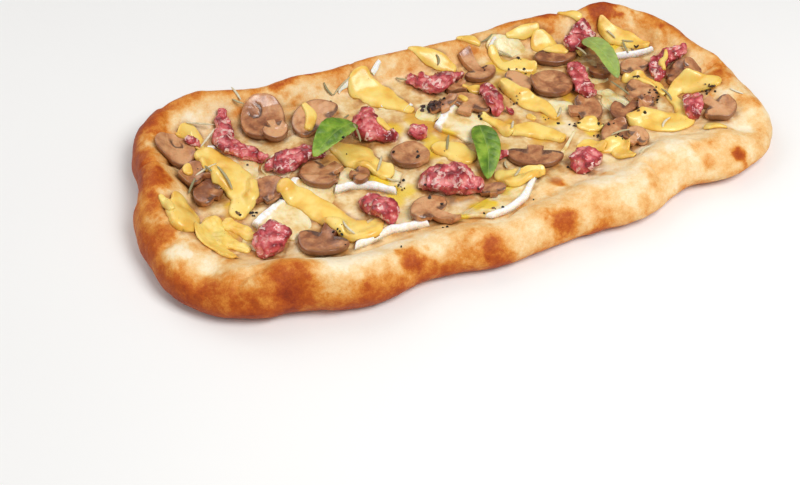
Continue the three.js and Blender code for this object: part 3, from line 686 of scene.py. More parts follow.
def mushroom_slice(number, x, y, cap, depth, bulge, stem, heading):
    """A slice as rings from its middle over the edge to the middle of its underside.

    Each ring is the outline shrunk towards the middle; the edge is a half round. The slice leans as what
    lies below it leans, sags where that falls away, and its sides curl a little.
    """
    outline = mushroom_outline(cap, depth, bulge, stem)
    round_edge = [(0.95, 0.98), (0.98, 0.91), (0.995, 0.78), (1, 0.45), (0.99, 0.15), (0.965, 0.03)]
    size = [np.linspace(0, 0.91, FACE_RINGS), [s for s, _ in round_edge], np.linspace(0.93, 0, 6)]
    level = [np.ones(FACE_RINGS), [rise for _, rise in round_edge], np.zeros(6)]
    size, level = np.concatenate(size), np.concatenate(level)
    local = size[:, None, None] * outline
    flat = np.concatenate([local, np.full((*local.shape[:2], 1), 37.0 * number)], axis=-1)
    local = local * (1 + 0.05 * noise(flat, 0.8 * cap)[..., None])
    px, py = local[..., 0] / cap, local[..., 1] / cap
    if bulge == 1:
        arch = np.hypot(px / 0.27, (py + 0.44) / 0.25)
        faint = 1 if number < 3 else 0.25  # gills show clearly on the first two discs only
        torn = 0.16 * noise(flat, 2.2)
        gills = faint * smooth(0.38, 0.12, np.abs(arch - 1) + torn) * smooth(-0.66, -0.46, py)
        stalk = smooth(0.14, 0.08, np.abs(px)) * smooth(0.26, 0.18, np.abs(py + 0.46))
    else:
        root, hollow = np.array([NECK, -GILLS * bulge]), np.array([BEND, -BEND * bulge])
        lip = bent(root, hollow, np.array([1, 0]), ARCH)
        beside = np.abs(px)
        rise = py - np.interp(beside, lip[:, 0], lip[:, 1]) + 0.09 * noise(flat, 2.5)
        reach = 0.15 + 0.20 * smooth(0.7, 0.3, beside)
        gills = smooth(reach, 0.5 * reach, rise) * smooth(0.19, 0.3, beside) * smooth(1.0, 0.88, beside)
        gills = gills * smooth(root[1] - 0.14, root[1] - 0.02, py)
        stalk = smooth(0.34, 0.2, beside) * smooth(0.15, -0.15, py)
    skin = smooth(0.88, 0.985, size)[:, None] * smooth(-0.12, 0.1, py)
    turn = np.radians(heading + 90)
    east, north = np.cos(turn), np.sin(turn)
    wide = x + local[..., 0] * east - local[..., 1] * north
    long = y + local[..., 0] * north + local[..., 1] * east
    arm = PROP * cap
    sides = [height(x + i * arm, y + j * arm, top) for i, j in ((1, 0), (-1, 0), (0, 1), (0, -1))]
    slopes = (sides[0] - sides[1]) / (2 * arm), (sides[2] - sides[3]) / (2 * arm)
    middle = (np.mean(sides) + max(np.mean(sides), height(*np.array([x, y], float), top))) / 2
    plane = middle + 0.5 + slopes[0] * (wide - x) + slopes[1] * (long - y)
    below = height(wide, long, blanket(1, 1.5))
    curl = 1.6 * noise(flat + 5, 1.6 * cap, 1) * (px**2 + py**2)
    rest = np.maximum(plane * 0.75 + below * 0.25, below) + 0.3 + np.maximum(curl, -0.3)
    face = -0.6 * gills - 0.2 * stalk * (1 - gills) + 0.3 * noise(flat, 7) + 0.5 * (px**2 + py**2) - 0.3
    z = rest + level[:, None] * (SLICE + face * (level[:, None] > 0.9))
    points = np.stack([wide, long, z], axis=-1)
    points[:, -1] = points[:, 0]
    return points, gills * (level[:, None] > 0.5), skin


roasted = Finish("roasted_mushroom")
flesh = roasted.grain(8, 3, 0.4) + 0.2 * (roasted.grain(1.4) - 0.5) + 0.3 * (roasted.measure("tone") - 0.5)
flesh = roasted.ramp(flesh, [(0.32, "dba473"), (0.46, "c68a5a"), (0.58, "ad6f45"), (0.72, "884f2d")])
flesh = roasted.blend(roasted.measure("skin") * 0.8, flesh, "7d4c2e")
gill_colour = roasted.ramp(roasted.grain(1.2, 3), [(0.4, "35201a"), (0.6, "6a4634")])
flesh = roasted.blend(roasted.measure("gills") * 0.82, flesh, gill_colour)
flecked = roasted.cells(2.3).above(0.12, 0.07) * roasted.grain(12).above(0.5, 0.6)
mushroom_finish = roasted.finish(
    roasted.grain(3, 3) + 0.8 * roasted.measure("gills") * roasted.grain(0.7), 0.22,
    Base_Color=roasted.blend(flecked * 0.8, flesh, "3a2418"),
    Roughness=0.24 + 0.25 * roasted.grain(4), Coat_Weight=0.5, Coat_Roughness=0.18,
    Subsurface_Weight=0.15, Subsurface_Scale=0.002,
)
for number, measures in enumerate(MUSHROOMS, 1):
    points, gills, skin = mushroom_slice(number, *measures)
    tone = 0 * gills + number * GOLDEN % 1
    mushroom = mesh_piece(
        f"mushroom_slice_{number:02}", [points], mushroom_finish, gills=[gills], skin=[skin], tone=[tone],
    )
    pile(points[:UPPER_RINGS], 3)
    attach(mushroom, "root")
    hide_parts(f"mushroom_{number:02}")

# Broken pieces of them, measured as the slices are.
BROKEN = [
    (-98, 54, 9, 0.8, 0.4, 3, 100), (10, -47, 8, 0.8, 0.5, 3, 250), (29, 53, 8, 0.9, 0.5, 4, 30),
    (180, 6, 7, 0.8, 0.6, 3, 200), (137, -13, 8, 0.9, 0.5, 3, 320), (114, -39, 8, 0.8, 0.4, 4, 200),
    (-62, -6, 8, 0.8, 0.5, 3, 150), (12, 36, 9, 0.7, 0.4, 3, 260), (126, 34, 8, 0.8, 0.5, 3, 60),
]
broken = [mushroom_slice(number, *measures) for number, measures in enumerate(BROKEN, len(MUSHROOMS) + 1)]
mushroom_bits = mesh_piece(
    "mushroom_bits", [points for points, *_ in broken], mushroom_finish,
    gills=[gills for _, gills, _ in broken], skin=[skin for *_, skin in broken],
    tone=[0 * skin + k * GOLDEN % 1 for k, (*_, skin) in enumerate(broken)],
)
for points, *_ in broken:
    pile(points[:UPPER_RINGS], 3)
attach(mushroom_bits, "root")

# ---- egg cream ----
# Egg yolk and cheese beaten to a thick sauce and spooned over the hot pizza: glossy yellow pools with
# rounded edges that flow over what they meet.

# Depths of the pools and of the one thick drop, and which pool that is.
CREAM, DROP, DOMED = 2.4, 4, 2
# Pools, runs and blistered patches are paths of x, y and half width.
PUDDLES = [
    [(-146, 47, 7), (-140, 33, 11.5), (-134, 18, 11.5), (-134, 4, 9.5), (-140, -6, 6)],
    [(-172, 7, 5), (-173, -3, 9.5), (-175, -13, 8)],
    [(-108, -2, 6), (-101, -10, 8), (-94, -21, 9), (-88, -33, 9), (-80, -46, 9), (-72, -51, 7),
     (-66, -47, 4)],
    [(-29, 76, 10), (-23, 68, 12), (-15, 57, 7), (-8, 47, 4)],
    [(-64, 28, 6), (-58, 18, 10), (-52, 5, 9), (-46, -5, 7)],
    [(148, 72, 4), (153, 64, 6), (160, 56, 6), (168, 48, 4)],
    [(59, 44, 4), (63, 33, 6), (69, 24, 6), (76, 15, 5), (78, 5, 3)],
    [(46, 2, 4), (57, -1, 7), (65, -7, 6), (72, -15, 4)],
    [(-3, 3, 7), (3, -1, 10), (7, -9, 8)],
    [(22, -34, 5), (28, -40, 10), (37, -42, 8), (44, -42, 4)],
    [(186, -12, 5), (178, -4, 6), (169, 1, 5), (161, -3, 4), (160, -14, 4), (155, -28, 7),
     (144, -29, 10), (133, -23, 9), (122, -18, 4)],
]
# Smaller runs and drops of it, too thin to be pieces of their own.
DRIBBLES = [
    [(-157, 67, 3), (-153, 72, 3.5), (-148, 73, 3), (-146, 66, 3.5), (-147, 59, 3)],
    [(-182, 8, 2), (-180, 1, 3), (-179, -5, 2.5)],
    [(13, 95, 3), (20, 87, 5), (29, 80, 5), (35, 75, 3)],
    [(48, 93, 3), (54, 89, 4), (58, 85, 2)],
    [(81, 85, 2), (92, 85, 3.5), (101, 84, 3)],
    [(102, 76, 7), (107, 69, 7.5), (113, 61, 3)],
    [(66, 77, 4), (68, 65, 4), (78, 63, 6), (86, 59, 5)],
    [(124, 91, 2.5), (129, 88, 3.5), (133, 82, 3)],
    [(33, 50, 2), (40, 48, 4), (45, 46, 4)],
    [(163, -48, 5), (168, -54, 2)],
    [(141, 22, 4), (150, 17, 6), (155, 10, 5), (156, 1, 3)],
    [(94, -34, 4), (101, -36, 6), (102, -45, 5), (104, -52, 2)],
    [(91, -9, 4), (96, -11, 6), (100, -15, 3)],
    [(-73, 68, 2.5), (-72, 59, 4), (-77, 49, 3)],
    [(119, 62, 3), (123, 60, 4)],
    [(34, 19, 3), (41, 10, 4), (43, 2, 4)],
    [(26, 39, 2.5), (27, 37, 3)], [(63, 11, 2.5), (64, 9, 2.5)], [(-160, 36, 3), (-160, 33, 3)],
]
# Thin patches on the rim that the oven blistered.
BLISTERED = [
    [(-157, -10, 6), (-161, -22, 8), (-160, -33, 5.5), (-155, -44, 4)],
    [(-157, -23, 6), (-151, -31, 4.5), (-145, -38, 3.5)],
    [(-148, -14, 5), (-142, -21, 5), (-139, -28, 4)],
]


def fine_path(path, samples, ends=1):
    """A path of places and half widths as a fine line, the way gone at each of its points, and how far
    its two round ends stand out."""
    path = np.asarray(path, float)
    fine = spline(path, np.linspace(0, len(path) - 1, samples))
    gone = np.concatenate([[0], np.cumsum(np.linalg.norm(np.diff(fine[:, :2], axis=0), axis=1))])
    return fine, gone, fine[0, 2] * ends, fine[-1, 2] * ends


def on_path(s, fine, gone, first, last):
    """Place and half width at ways s along a fine path, and how far they are past its ends: there the
    half width falls off as a half round."""
    inside = np.clip(s, 0, gone[-1])
    x, y, half = (np.interp(inside, gone, fine[:, k]) for k in range(3))
    past = s - inside
    half = half * np.sqrt(np.clip(1 - (past / np.where(past < 0, first, last)) ** 2, 0, 1))
    return x, y, half, past


def pool(path, depth, reach=2.5, ragged=0.26, power=3.2):
    """A thick puddle along a path of places and half widths, rounded off at both ends.

    Its depth over what it lies on falls from the middle line to its edges as the power of the place
    across, each side's edge waves in and out, and the edge itself dips into what is below.
    """
    fine, gone, first, last = fine_path(path, 400)
    length = gone[-1]
    rows = int(np.clip((length + first + last) / 0.8, 16, 90))
    s = length / 2 - first / 2 + last / 2 - np.cos(np.linspace(0, np.pi, rows)) * (length + first + last) / 2
    s = 0.5 * s + 0.5 * np.linspace(-first, length + last, rows)
    x, y, half, past = on_path(s, fine, gone, first, last)
    along = np.stack([np.gradient(x), np.gradient(y)], axis=-1)
    known = np.flatnonzero(np.hypot(*along.T) >= 1e-6)
    along = np.stack([np.interp(np.arange(rows), known, along[known, k]) for k in (0, 1)], axis=-1)
    along /= np.linalg.norm(along, axis=-1, keepdims=True)
    v = np.sin(np.linspace(-np.pi / 2, np.pi / 2, 33))
    v = 0.6 * v + 0.4 * np.linspace(-1, 1, 33)
    x = (x + past * along[:, 0])[:, None]
    y = (y + past * along[:, 1])[:, None]
    edge = np.stack([x + 0 * v, y + 0 * v, 30 * np.sign(v) + 0 * x], axis=-1)
    ripple = 1 + ragged * (noise(edge, 10, 1) + 0.4 * noise(edge + 9, 4, 1)) * np.abs(v)
    x = x - v * half[:, None] * ripple * along[:, 1:]
    y = y + v * half[:, None] * ripple * along[:, :1]
    round_end = (half / half.max())[:, None]
    share = np.clip(1 - np.abs(v) ** power, 0, 1) ** 0.55 * np.clip(round_end * 1.4, 0, 1) ** 0.6
    limp = height(x, y, blanket(reach, 1.5))
    bare = height(x, y, blanket(0.5, 1))
    low = bare + (limp - bare) * (1 - np.abs(v) ** 6)
    over = np.stack([x, y, low + depth * share - 0.3 * (1 - share)], axis=-1)
    under = np.stack([x, y, low - 0.3], axis=-1)
    for line in (np.s_[0], np.s_[-1], np.s_[:, 0], np.s_[:, -1]):
        over[line] = under[line]
    return over, under, 1 - share


creamy = Finish("egg_cream")
cream_colour = creamy.ramp(creamy.grain(11, 2), [(0.38, "fcdb7a"), (0.52, "f8cd62"), (0.64, "efbb4e")])
cream_colour = creamy.blend(creamy.measure("thin").above(0.55, 1) * 0.6, cream_colour, "e8ab3c")
specks = creamy.cells(2.6).above(0.13, 0.09) * creamy.grain(9).above(0.52, 0.6)
cream_finish = creamy.finish(
    creamy.grain(7, 2) + 0.25 * creamy.grain(1.6), 0.45,
    Base_Color=creamy.blend(specks * 0.7, cream_colour, "8a6a2c"),
    Roughness=0.28 + 0.2 * creamy.grain(6), Coat_Weight=0.4, Coat_Roughness=0.2,
    Subsurface_Weight=0.18, Subsurface_Scale=0.003,
)


def cream_piece(name, pools):
    """One piece from pools, which then count as lying on the pizza."""
    piece = mesh_piece(
        name, [sheet for over, under, _ in pools for sheet in (over, under[:, ::-1])], cream_finish,
        thin=[sheet for *_, thin in pools for sheet in (thin, thin[:, ::-1])],
    )
    for over, *_ in pools:
        pile(over, 3)
    return piece


for number, path in enumerate(PUDDLES, 1):
    puddle = pool(path, DROP, ragged=0.12, power=2.4) if number == DOMED else pool(path, CREAM, power=4.5)
    cream = cream_piece(f"egg_cream_pool_{number:02}", [puddle])
    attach(cream, "root")
    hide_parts(f"egg_cream_{number:02}")

runs = [pool(path, min(0.35 * max(half for *_, half in path) + 0.4, 2), 1) for path in DRIBBLES]
blistered = [pool(path, 1.9, 1, 0.3) for path in BLISTERED]
for over, under, _ in blistered:
    over[..., 2] += 1.1 * (0.5 - grains(over, 3.4)) * (over[..., 2] > under[..., 2] + 0.5)
dribbles = cream_piece("egg_cream_dribbles", runs + blistered)
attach(dribbles, "root")

# ---- crumbled sausage ----
# Fresh pork sausage pulled apart by hand and just cooked: rough pink and red clumps of coarse mince,
# flecked with white fat and wet with juice.

# A clump's height as a share of its half width.
STOUT = 1.35
# Clumps and crumbs: paths of x, y and half width.
SAUSAGES = [
    [(-126, 77, 4), (-129, 67, 6), (-131, 56, 7), (-128, 47, 7), (-121, 40, 6.5), (-115, 35, 4)],
    [(-109, 24, 6), (-102, 22, 8.5), (-94, 24, 8), (-85, 26, 6.5), (-78, 27, 5)],
    [(-36, 51, 5), (-40, 42, 7), (-42, 34, 9), (-36, 29, 8), (-30, 24, 5)],
    [(-133, -43, 9), (-127, -37, 10)],
    [(-64, -27, 6), (-61, -36, 8), (-58, -46, 7.5)],
    [(3, 72, 4), (10, 65, 6.5), (17, 59, 8), (26, 60, 6.5), (33, 62, 4.5)],
    [(-13, 23, 6), (-11, 21, 6)],
    [(46, 40, 6), (45, 31, 6.5), (43, 23, 6)],
    [(133, 70, 7), (127, 67, 7), (119, 62, 6)],
    [(113, 45, 5), (110, 35, 6.5), (108, 25, 6.5), (107, 15, 6)],
    [(-22, -26, 9), (-14, -31, 11), (-6, -34, 11), (1, -39, 7)],
    [(73, -46, 9.5), (76, -44, 9.5)],
    [(160, 14, 4), (164, 23, 6), (172, 27, 6.5), (181, 24, 5.5)],
    [(168, -16, 5), (164, -24, 6), (160, -30, 5.5)],
]
SCRAPS = [
    [(-151, 62, 3.6), (-149, 60, 3.6)], [(27, -19, 3.5), (30, -20, 3)], [(9, 68, 2.5), (10, 70, 2)],
    [(-47, 40, 3), (-49, 38, 2.5)], [(-112, 30, 3), (-114, 32, 2.5)], [(52, 20, 2.5), (53, 18, 2)],
]


def clump(path):
    """A torn clump: an oval section carried along a path of places and half widths, closed to a point
    at both ends and pushed in and out by three sizes of grains. Also gives how deep each point lies,
    which the meat's colour turns into painted shade in the hollows and a painted highlight on the knobs."""
    fine, gone, first, last = fine_path(path, 300, 0.9)
    length = gone[-1]
    rows = int(np.clip((length + first + last) / 0.55, 24, 100))
    turn = np.linspace(0, np.pi, rows)
    s = -first + (length + first + last) * (0.5 * (1 - np.cos(turn)) * 0.5 + 0.5 * turn / np.pi)
    x, y, half, past = on_path(s, fine, gone, first, last)
    slope = [np.interp(np.clip(s, 0.5, length - 0.5), gone, np.gradient(fine[:, k], gone)) for k in (0, 1)]
    along = np.stack(slope, axis=-1)
    along /= np.linalg.norm(along, axis=-1, keepdims=True)
    angle = np.linspace(0, 2 * np.pi, 65)
    out, up = np.cos(angle), np.sin(angle)
    x = (x + past * along[:, 0])[:, None] - out * half[:, None] * along[:, 1:]
    y = (y + past * along[:, 1])[:, None] + out * half[:, None] * along[:, :1]
    z = height(x, y, blanket(1.5, 2)) - 0.6 + 0.5 * STOUT * half[:, None] * (1 + up)
    body = np.stack([x, y, z], axis=-1)
    rough = 3.4 * (0.55 - grains(body, 5.6)) + 1.5 * (0.5 - grains(body + 60, 2.7))
    rough += 0.25 * (0.5 - grains(body + 80, 1.4)) + 0.8 * noise(body, 9)
    taper = np.clip(half[:, None] / 4, 0, 1)
    body += outward(body) * (rough * taper)[..., None]
    body[:, -1] = body[:, 0]
    return body, rough


meaty = Finish("cooked_sausage")
fleck = meaty.add("SeparateColor", {}, {"Color": meaty.cells(4.4, "Color")})
# Painted shade and highlight: the clump's lumps darken the meat in their hollows and pale it on their knobs.
meat_colour = meaty.ramp(meaty.measure("rough") * 0.2 + 0.9 * meaty.grain(4.5, 2), [
    (0.20, "7e1a20"), (0.36, "ae343b"), (0.52, "cd5458"), (0.70, "e98f8a"),
])
fat = fleck.above(0.74, 0.84) * meaty.grain(2.4).above(0.42, 0.55)
meat_finish = meaty.finish(
    meaty.grain(2.4, 2) + 0.4 * meaty.cells(2.6), 0.6,
    Base_Color=meaty.blend(fat * 0.8, meat_colour, "f4cfc4"),
    Roughness=0.24 + 0.25 * meaty.grain(3), Coat_Weight=0.45, Coat_Roughness=0.12,
    Subsurface_Weight=0.15, Subsurface_Scale=0.002,
)
for number, path in enumerate(SAUSAGES, 1):
    body, rough = clump(path)
    sausage = mesh_piece(f"sausage_clump_{number:02}", [body], meat_finish, rough=[rough])
    pile(body, 2)
    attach(sausage, "root")
    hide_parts(f"sausage_{number:02}")

scraps = [clump(path) for path in SCRAPS]
crumbs = mesh_piece("sausage_scraps", [b for b, _ in scraps], meat_finish, rough=[r for _, r in scraps])
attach(crumbs, "root")

# The last drops of egg cream, which ran down over the sausage.
DROPS = [
    [(81, -27, 3), (87, -26, 4.5), (92, -33, 3.5)],
    [(173, 29, 1), (170, 24, 1.6), (165, 20, 2.2), (164, 15, 1.4)],
    [(-30, 38, 2.2), (-33, 32, 3), (-31, 26, 2)],
]
egg_drops = cream_piece("egg_cream_drops", [pool(path, 1.2, 1) for path in DROPS])
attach(egg_drops, "root")

# ---- basil ----
# Three fresh whole leaves laid on after baking: thin, cupped along the midrib and quilted between the
# side veins, one of them young and paler.

# Thickness, then each leaf's midrib, half width and how far its sides rise.
LEAF = 0.7
LEAVES = [
    ([(-50, 38), (-65, 30), (-84, 16)], 10.5, 3),
    ([(27, 13), (21, -14), (12, -36)], 8.5, 3),
    ([(128, 62), (130, 40), (129, 15)], 7.5, 2.5),
]
VEINS = 7
YOUNGEST, PALER = 3, 0.42


def basil_leaf(rib, half, cup, node):
    """A leaf on its midrib: width as a bent sine of the way along, sides cupped, the blade swollen
    between veins that slant to the tip. It takes its height from the node's highest point."""
    u = np.linspace(0, 1, 90)[:, None]
    v = np.linspace(-1, 1, 41)
    line = spline(rib, u[:, 0] * (len(rib) - 1))
    along = np.gradient(line, axis=0)
    along /= np.linalg.norm(along, axis=-1, keepdims=True)
    wide = half * np.clip(np.sin(np.pi * u**0.75), 0, 1) ** 0.55
    arch = np.sin(np.pi * u)
    x = line[:, :1] - v * wide * along[:, 1:]
    y = line[:, 1:] + v * wide * along[:, :1]
    slant = (u - 0.22 * np.abs(v) ** 1.3 * (1 - 0.4 * u)) * VEINS
    swell = np.abs(np.sin(np.pi * slant)) ** 0.6
    low = 3 * arch + cup * v * v * arch + 0.7 * v * np.sin(9 * u) + 0.55 * swell * arch * np.abs(v) ** 0.4
    low = low - 0.7 * np.exp(-((v / 0.06) ** 2)) * arch
    thick = LEAF * (1 - np.abs(v) ** 8) * np.clip(arch * 8, 0, 1)
    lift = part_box(node)[1][2] / MM - (low + LEAF).max()
    over = np.stack([x, y, low + lift + thick], axis=-1)
    under = np.stack([x, y, low + lift + 0 * x], axis=-1)
    vein = np.maximum(smooth(0.22, 0.0, swell), np.exp(-((v / 0.05) ** 2)) + 0 * u) * np.clip(arch * 4, 0, 1)
    return over, under[:, ::-1], vein


leafy = Finish("basil_leaf")
blade = leafy.ramp(leafy.grain(9, 3), [(0.36, "4c7012"), (0.50, "6f931f"), (0.62, "97b43a")])
blade = leafy.blend(leafy.measure("young"), blade, "c6d47a")
leaf_finish = leafy.finish(
    leafy.grain(1.2, 3), 0.15,
    Base_Color=leafy.blend(leafy.measure("vein") * 0.45, blade, "aac458"),
    Roughness=0.30 + 0.2 * leafy.grain(3), Coat_Weight=0.15, Coat_Roughness=0.2,
    Subsurface_Weight=0.12, Subsurface_Scale=0.001,
)
for number, (rib, half, cup) in enumerate(LEAVES, 1):
    over, under, vein = basil_leaf(rib, half, cup, f"basil_{number}")
    young = [0 * vein + PALER * (number == YOUNGEST)] * 2
    leaf = mesh_piece(
        f"basil_leaf_{number}", [over, under], leaf_finish, vein=[vein, vein[:, ::-1]], young=young,
    )
    pile(over, 2)
    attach(leaf, "root")
    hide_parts(f"basil_{number}")

# ---- rosemary ----
# Dried needles of the herb scattered before baking: stiff, slightly bent, from grey-green to straw,
# rolled at the edges and blunt at both ends.

# Needles: from and to.
NEEDLES = [
    (-55, 82, -51, 75), (-37, 80, -51, 75), (-53, 30, -51, 22), (-42, 8, -51, -8), (-47, -12, -38, -15),
    (6, 13, -2, -3), (50, 9, 44, -1), (29, -24, 28, -30), (34, -35, 26, -43), (-86, -43, -82, -54),
    (-6, 77, 0, 70), (-151, 75, -133, 71), (-147, 56, -134, 67), (-165, 15, -158, 23), (-158, 23, -142, 32),
    (-144, 24, -139, 9), (-117, 84, -111, 77), (125, 18, 132, 2), (148, 67, 152, 60), (155, 55, 153, 43),
    (146, -27, 135, -35), (156, 3, 157, -10), (78, 70, 69, 76), (155, 57, 162, 52), (100, -30, 111, -34),
    (-47, 56, -55, 42), (-150, 31, -148, 20), (86, 12, 78, 2), (115, -54, 106, -56), (118, 55, 121, 45),
    (190, -24, 195, -33), (60, 84, 70, 88), (-115, 93, -112, 81), (26, 83, 25, 77),
]
needle_ends = np.array(NEEDLES, float)
THICK, LONG, ROUND = 0.75, 13, 7
u = np.linspace(0, 1, LONG)
draw = np.random.default_rng(3)
bow = draw.uniform(-1.4, 1.4, len(NEEDLES))[:, None] * (4 * u * (1 - u))
run = needle_ends[:, 2:] - needle_ends[:, :2]
sideways = np.stack([-run[:, 1], run[:, 0]], axis=-1) / np.linalg.norm(run, axis=1, keepdims=True)
place = needle_ends[:, None, :2] + run[:, None] * u[:, None] + sideways[:, None] * bow[..., None]
radius = THICK * np.sin(np.pi * np.clip(u, 0.03, 0.97)) ** 0.35
below = np.maximum(*(height(place[..., 0], place[..., 1], heights) for heights in (blanket(1, 1), top)))
level = below[:, :1] + (below[:, -1:] - below[:, :1]) * u
rest = level + np.clip((below - level).max(axis=1, keepdims=True), 0, 2)
turn = np.linspace(0, 2 * np.pi, ROUND)
ring = (radius * np.isin(np.arange(LONG), (0, LONG - 1), invert=True))[:, None]
across = sideways[:, None, None] * (ring * np.cos(turn) * 1.15)[..., None]
lifted = rest[..., None] + 0.3 + 0.75 * ring * np.sin(turn)
needles = np.concatenate([place[:, :, None] + across, lifted[..., None]], axis=-1)
dryness = np.broadcast_to(draw.uniform(0, 1, len(NEEDLES))[:, None, None], needles.shape[:-1])

herby = Finish("dried_rosemary")
needle_colour = herby.ramp(herby.measure("dry") + 0.5 * (herby.grain(1.5) - 0.5), [
    (0.1, "8d8660"), (0.4, "ada37a"), (0.7, "c9bb94"), (0.95, "ebe2c6"),
])
rosemary = mesh_piece(
    "rosemary_needles", list(needles),
    herby.finish(herby.grain(0.6), 0.2, Base_Color=needle_colour, Roughness=0.55 + 0.2 * herby.grain(1)),
    dry=list(dryness),
)
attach(rosemary, "root")
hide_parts("crust")

# ---- cracked pepper and burnt crumbs ----
# Coarsely cracked black pepper, in clusters where it fell from the fingers, and one heap of topping that
# charred to brown-black crumbs.

# Clusters: x, y, spread, grains.
PEPPER = [
    (-141, -9, 1.5, 6), (-131, -11, 2.5, 6), (-90, -47, 4, 5), (-91, -61, 1, 1), (-41, -17, 4, 9),
    (-28, -40, 3, 5), (1, -46, 1, 2), (3, -64, 2, 2), (-5, -67, 1, 1), (-21, -2, 3, 3), (-54, 72, 1.5, 2),
    (-95, 98, 1, 1), (-30, 57, 1, 1), (81, 89, 2, 5), (80, 67, 2, 4), (75, 54, 5, 6), (160, 48, 3, 6),
    (158, 38, 2, 3), (145, 18, 3, 6), (150, 1, 5, 12), (145, -6, 3, 6), (180, -16, 4, 16), (106, -31, 4, 14),
    (96, -20, 3, 6), (88, -7, 3, 8), (72, 6, 2, 3), (11, 41, 5, 10), (60, 28, 4, 7), (31, 19, 3, 4),
    (-31, -70, 2, 2), (142, -3, 4, 8), (125, -15, 5, 5), (118, 30, 4, 4), (52, 60, 6, 3), (0, 0, 120, 14),
    (-60, 20, 60, 6), (-120, 30, 30, 4), (105, -15, 6, 6),
]
middles = np.concatenate([
    (px, py) + spread * draw.normal(0, 0.5, (count, 2)) for px, py, spread, count in PEPPER
])
middles = middles[(np.abs(middles[:, 0]) < 185) & (np.abs(middles[:, 1]) < 80)]
corners = np.array([(0, i, j * GOLDEN) for i in (-1, 1) for j in (-1, 1)], float)
corners = np.concatenate([np.roll(corners, k, axis=1) for k in range(3)]) / np.hypot(1, GOLDEN)


def stones(middles, sizes, heights, material, name):
    """Angular crumbs: twelve-cornered stones whose corners are pushed in and out, each at its place.

    The twenty faces are the corner triples of equal side; a stone is closed, and half sinks into its bed.
    """
    side = 2 / np.hypot(1, GOLDEN)
    gaps = np.linalg.norm(corners[:, None] - corners[None], axis=-1)
    linked = np.abs(gaps - side) < 1e-6
    triples = np.array([
        (a, b, c) for a in range(12) for b in range(a + 1, 12) for c in range(b + 1, 12)
        if linked[a, b] and linked[b, c] and linked[a, c]
    ])
    way = np.sum(np.cross(corners[triples[:, 0]], corners[triples[:, 1]]) * corners[triples[:, 2]], axis=1)
    triples[way < 0] = triples[way < 0][:, ::-1]
    shape = corners * draw.uniform(0.55, 1.25, (len(middles), 12, 1)) * sizes[:, None, None]
    shape *= draw.uniform(0.7, 1.2, (len(middles), 1, 3))
    centre = np.concatenate([middles, (heights + 0.35 * sizes)[:, None]], axis=-1)
    points = (shape + centre[:, None]).reshape(-1, 3)
    faces = (triples + 12 * np.arange(len(middles))[:, None, None]).reshape(-1, 3)
    mesh = bpy.data.meshes.new(name)
    mesh.from_pydata(to_frame(points).tolist(), [], faces.tolist())
    mesh.materials.append(material)
    tone = np.repeat(draw.uniform(0, 1, len(middles)), 12)
    mesh.attributes.new("tone", "FLOAT", "POINT").data.foreach_set("value", tone)
    return shown(name, mesh)


peppery = Finish("cracked_pepper")
pepper_colour = peppery.ramp(peppery.measure("tone") + 0.4 * (peppery.grain(0.8) - 0.5), [
    (0.0, "120c0a"), (0.6, "2a1c16"), (0.85, "4e3324"), (1.0, "8a6a48"),
])
pepper_finish = peppery.finish(
    peppery.grain(0.5), 0.2, Base_Color=pepper_colour, Roughness=0.45 + 0.2 * peppery.grain(1),
)
pepper = stones(
    middles, draw.uniform(0.45, 1.25, len(middles)), height(*middles.T, top), pepper_finish, "cracked_pepper",
)
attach(pepper, "root")
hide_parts("crust")

char = (6, 41) + (3.4, 2.2) * draw.normal(0, 1, (26, 2))
burnt = Finish("charred_topping")
burnt_colour = burnt.ramp(burnt.measure("tone") * 0.6 + 0.6 * burnt.grain(1.6), [
    (0.2, "170d0f"), (0.55, "35201f"), (0.8, "5a3a30"), (1.0, "8a6048"),
])
charred = stones(
    char, draw.uniform(1.1, 2.5, len(char)), height(*char.T, top) - 0.4,
    burnt.finish(burnt.grain(0.9), 0.4, Base_Color=burnt_colour, Roughness=0.35 + 0.2 * burnt.grain(1)),
    "charred_crumbs",
)
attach(charred, "root")
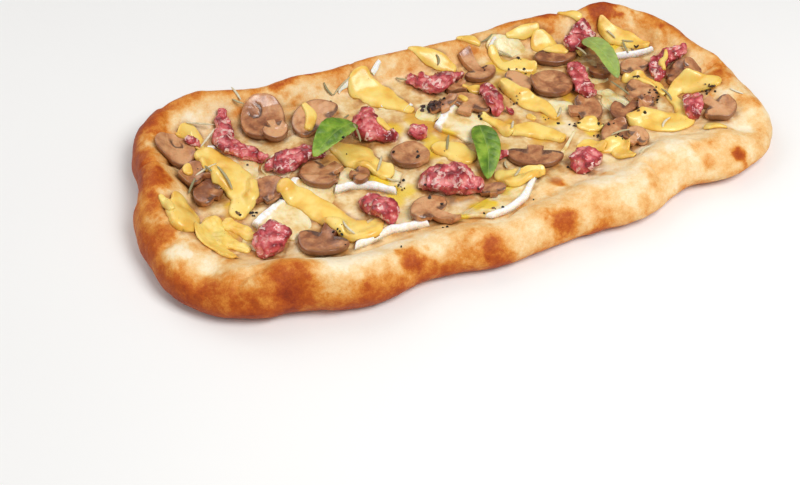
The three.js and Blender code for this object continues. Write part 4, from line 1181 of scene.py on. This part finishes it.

# ---- juices and painted shade on the dough ----
# Meat and mushroom juices that soaked the melted cheese and dough round each topping and browned in
# the oven, together with painted shade under and between the toppings: a measure on the dough's skin,
# which its material turns amber to brown.

covered = averaged((top > bare_dough + 1).astype(float), 3)
skin_points = np.empty(len(crust.data.vertices) * 3)
crust.data.vertices.foreach_get("co", skin_points)
skin_points = skin_points.reshape(-1, 3) / MM + MIDDLE
# Juice and painted shade round the toppings, on the bed only.
juice_and_shade_share = smooth(0.04, 0.5, height(skin_points[:, 0], skin_points[:, 1], covered)) * (skin_points[:, 2] > 8)
crust.data.attributes.new("juice", "FLOAT", "POINT").data.foreach_set("value", juice_and_shade_share)

# ---- floor, light and camera ----
# A plain pale floor that the pizza lies on, wide soft lamps above it and the camera at the
# photograph's angle.

studio = Finish("pale_floor")
floor_colour = studio.ramp(studio.grain(400), [(0.4, "f4f3f1"), (0.6, "f6f5f3")])
floor_finish = studio.finish(Base_Color=floor_colour, Roughness=0.9)
floor_mesh = bpy.data.meshes.new("floor")
SPAN = 4
square = [(-SPAN, -SPAN, 0), (SPAN, -SPAN, 0), (SPAN, SPAN, 0), (-SPAN, SPAN, 0)]
floor_mesh.from_pydata(square, [], [(0, 1, 2, 3)])
floor_mesh.materials.append(floor_finish)
floor = shown("floor", floor_mesh)

AIM = Vector(to_frame((-53.76, -53.55, 0)))
TURN, TILT, AWAY = np.radians(-21.36), np.radians(46), 0.74462
SENSOR = 36
LENS = 1230 / 800 * SENSOR
back = Vector((np.sin(TURN) * np.cos(TILT), -np.cos(TURN) * np.cos(TILT), np.sin(TILT)))
camera = shown("camera", bpy.data.cameras.new("camera"))
camera.data.lens = LENS
camera.data.sensor_width = SENSOR
camera.location = AIM + back * AWAY
camera.rotation_euler = back.to_track_quat("Z", "Y").to_euler()
bpy.context.scene.camera = camera

# Lamps: name, place, width, power in watts.
LAMPS = [
    ("key", (0.25, -0.55, 0.95), 0.55, 9.6),
    ("back", (-0.35, 0.75, 0.8), 0.8, 3.4),
    ("left", (-0.9, -0.1, 0.5), 0.5, 1),
]
for name, place, width, power in LAMPS:
    lamp = shown(name, bpy.data.lights.new(name, "AREA"))
    lamp.data.size = width
    lamp.data.energy = power
    lamp.location = place
    lamp.rotation_euler = Vector(place).to_track_quat("Z", "Y").to_euler()
AMBIENT = 0.28
world = bpy.data.worlds.new("studio")
world.use_nodes = True
sky = world.node_tree.nodes["Background"].inputs
sky["Color"].default_value, sky["Strength"].default_value = hue("ffffff"), AMBIENT
bpy.context.scene.world = world
bpy.context.scene.view_settings.view_transform = "Standard"
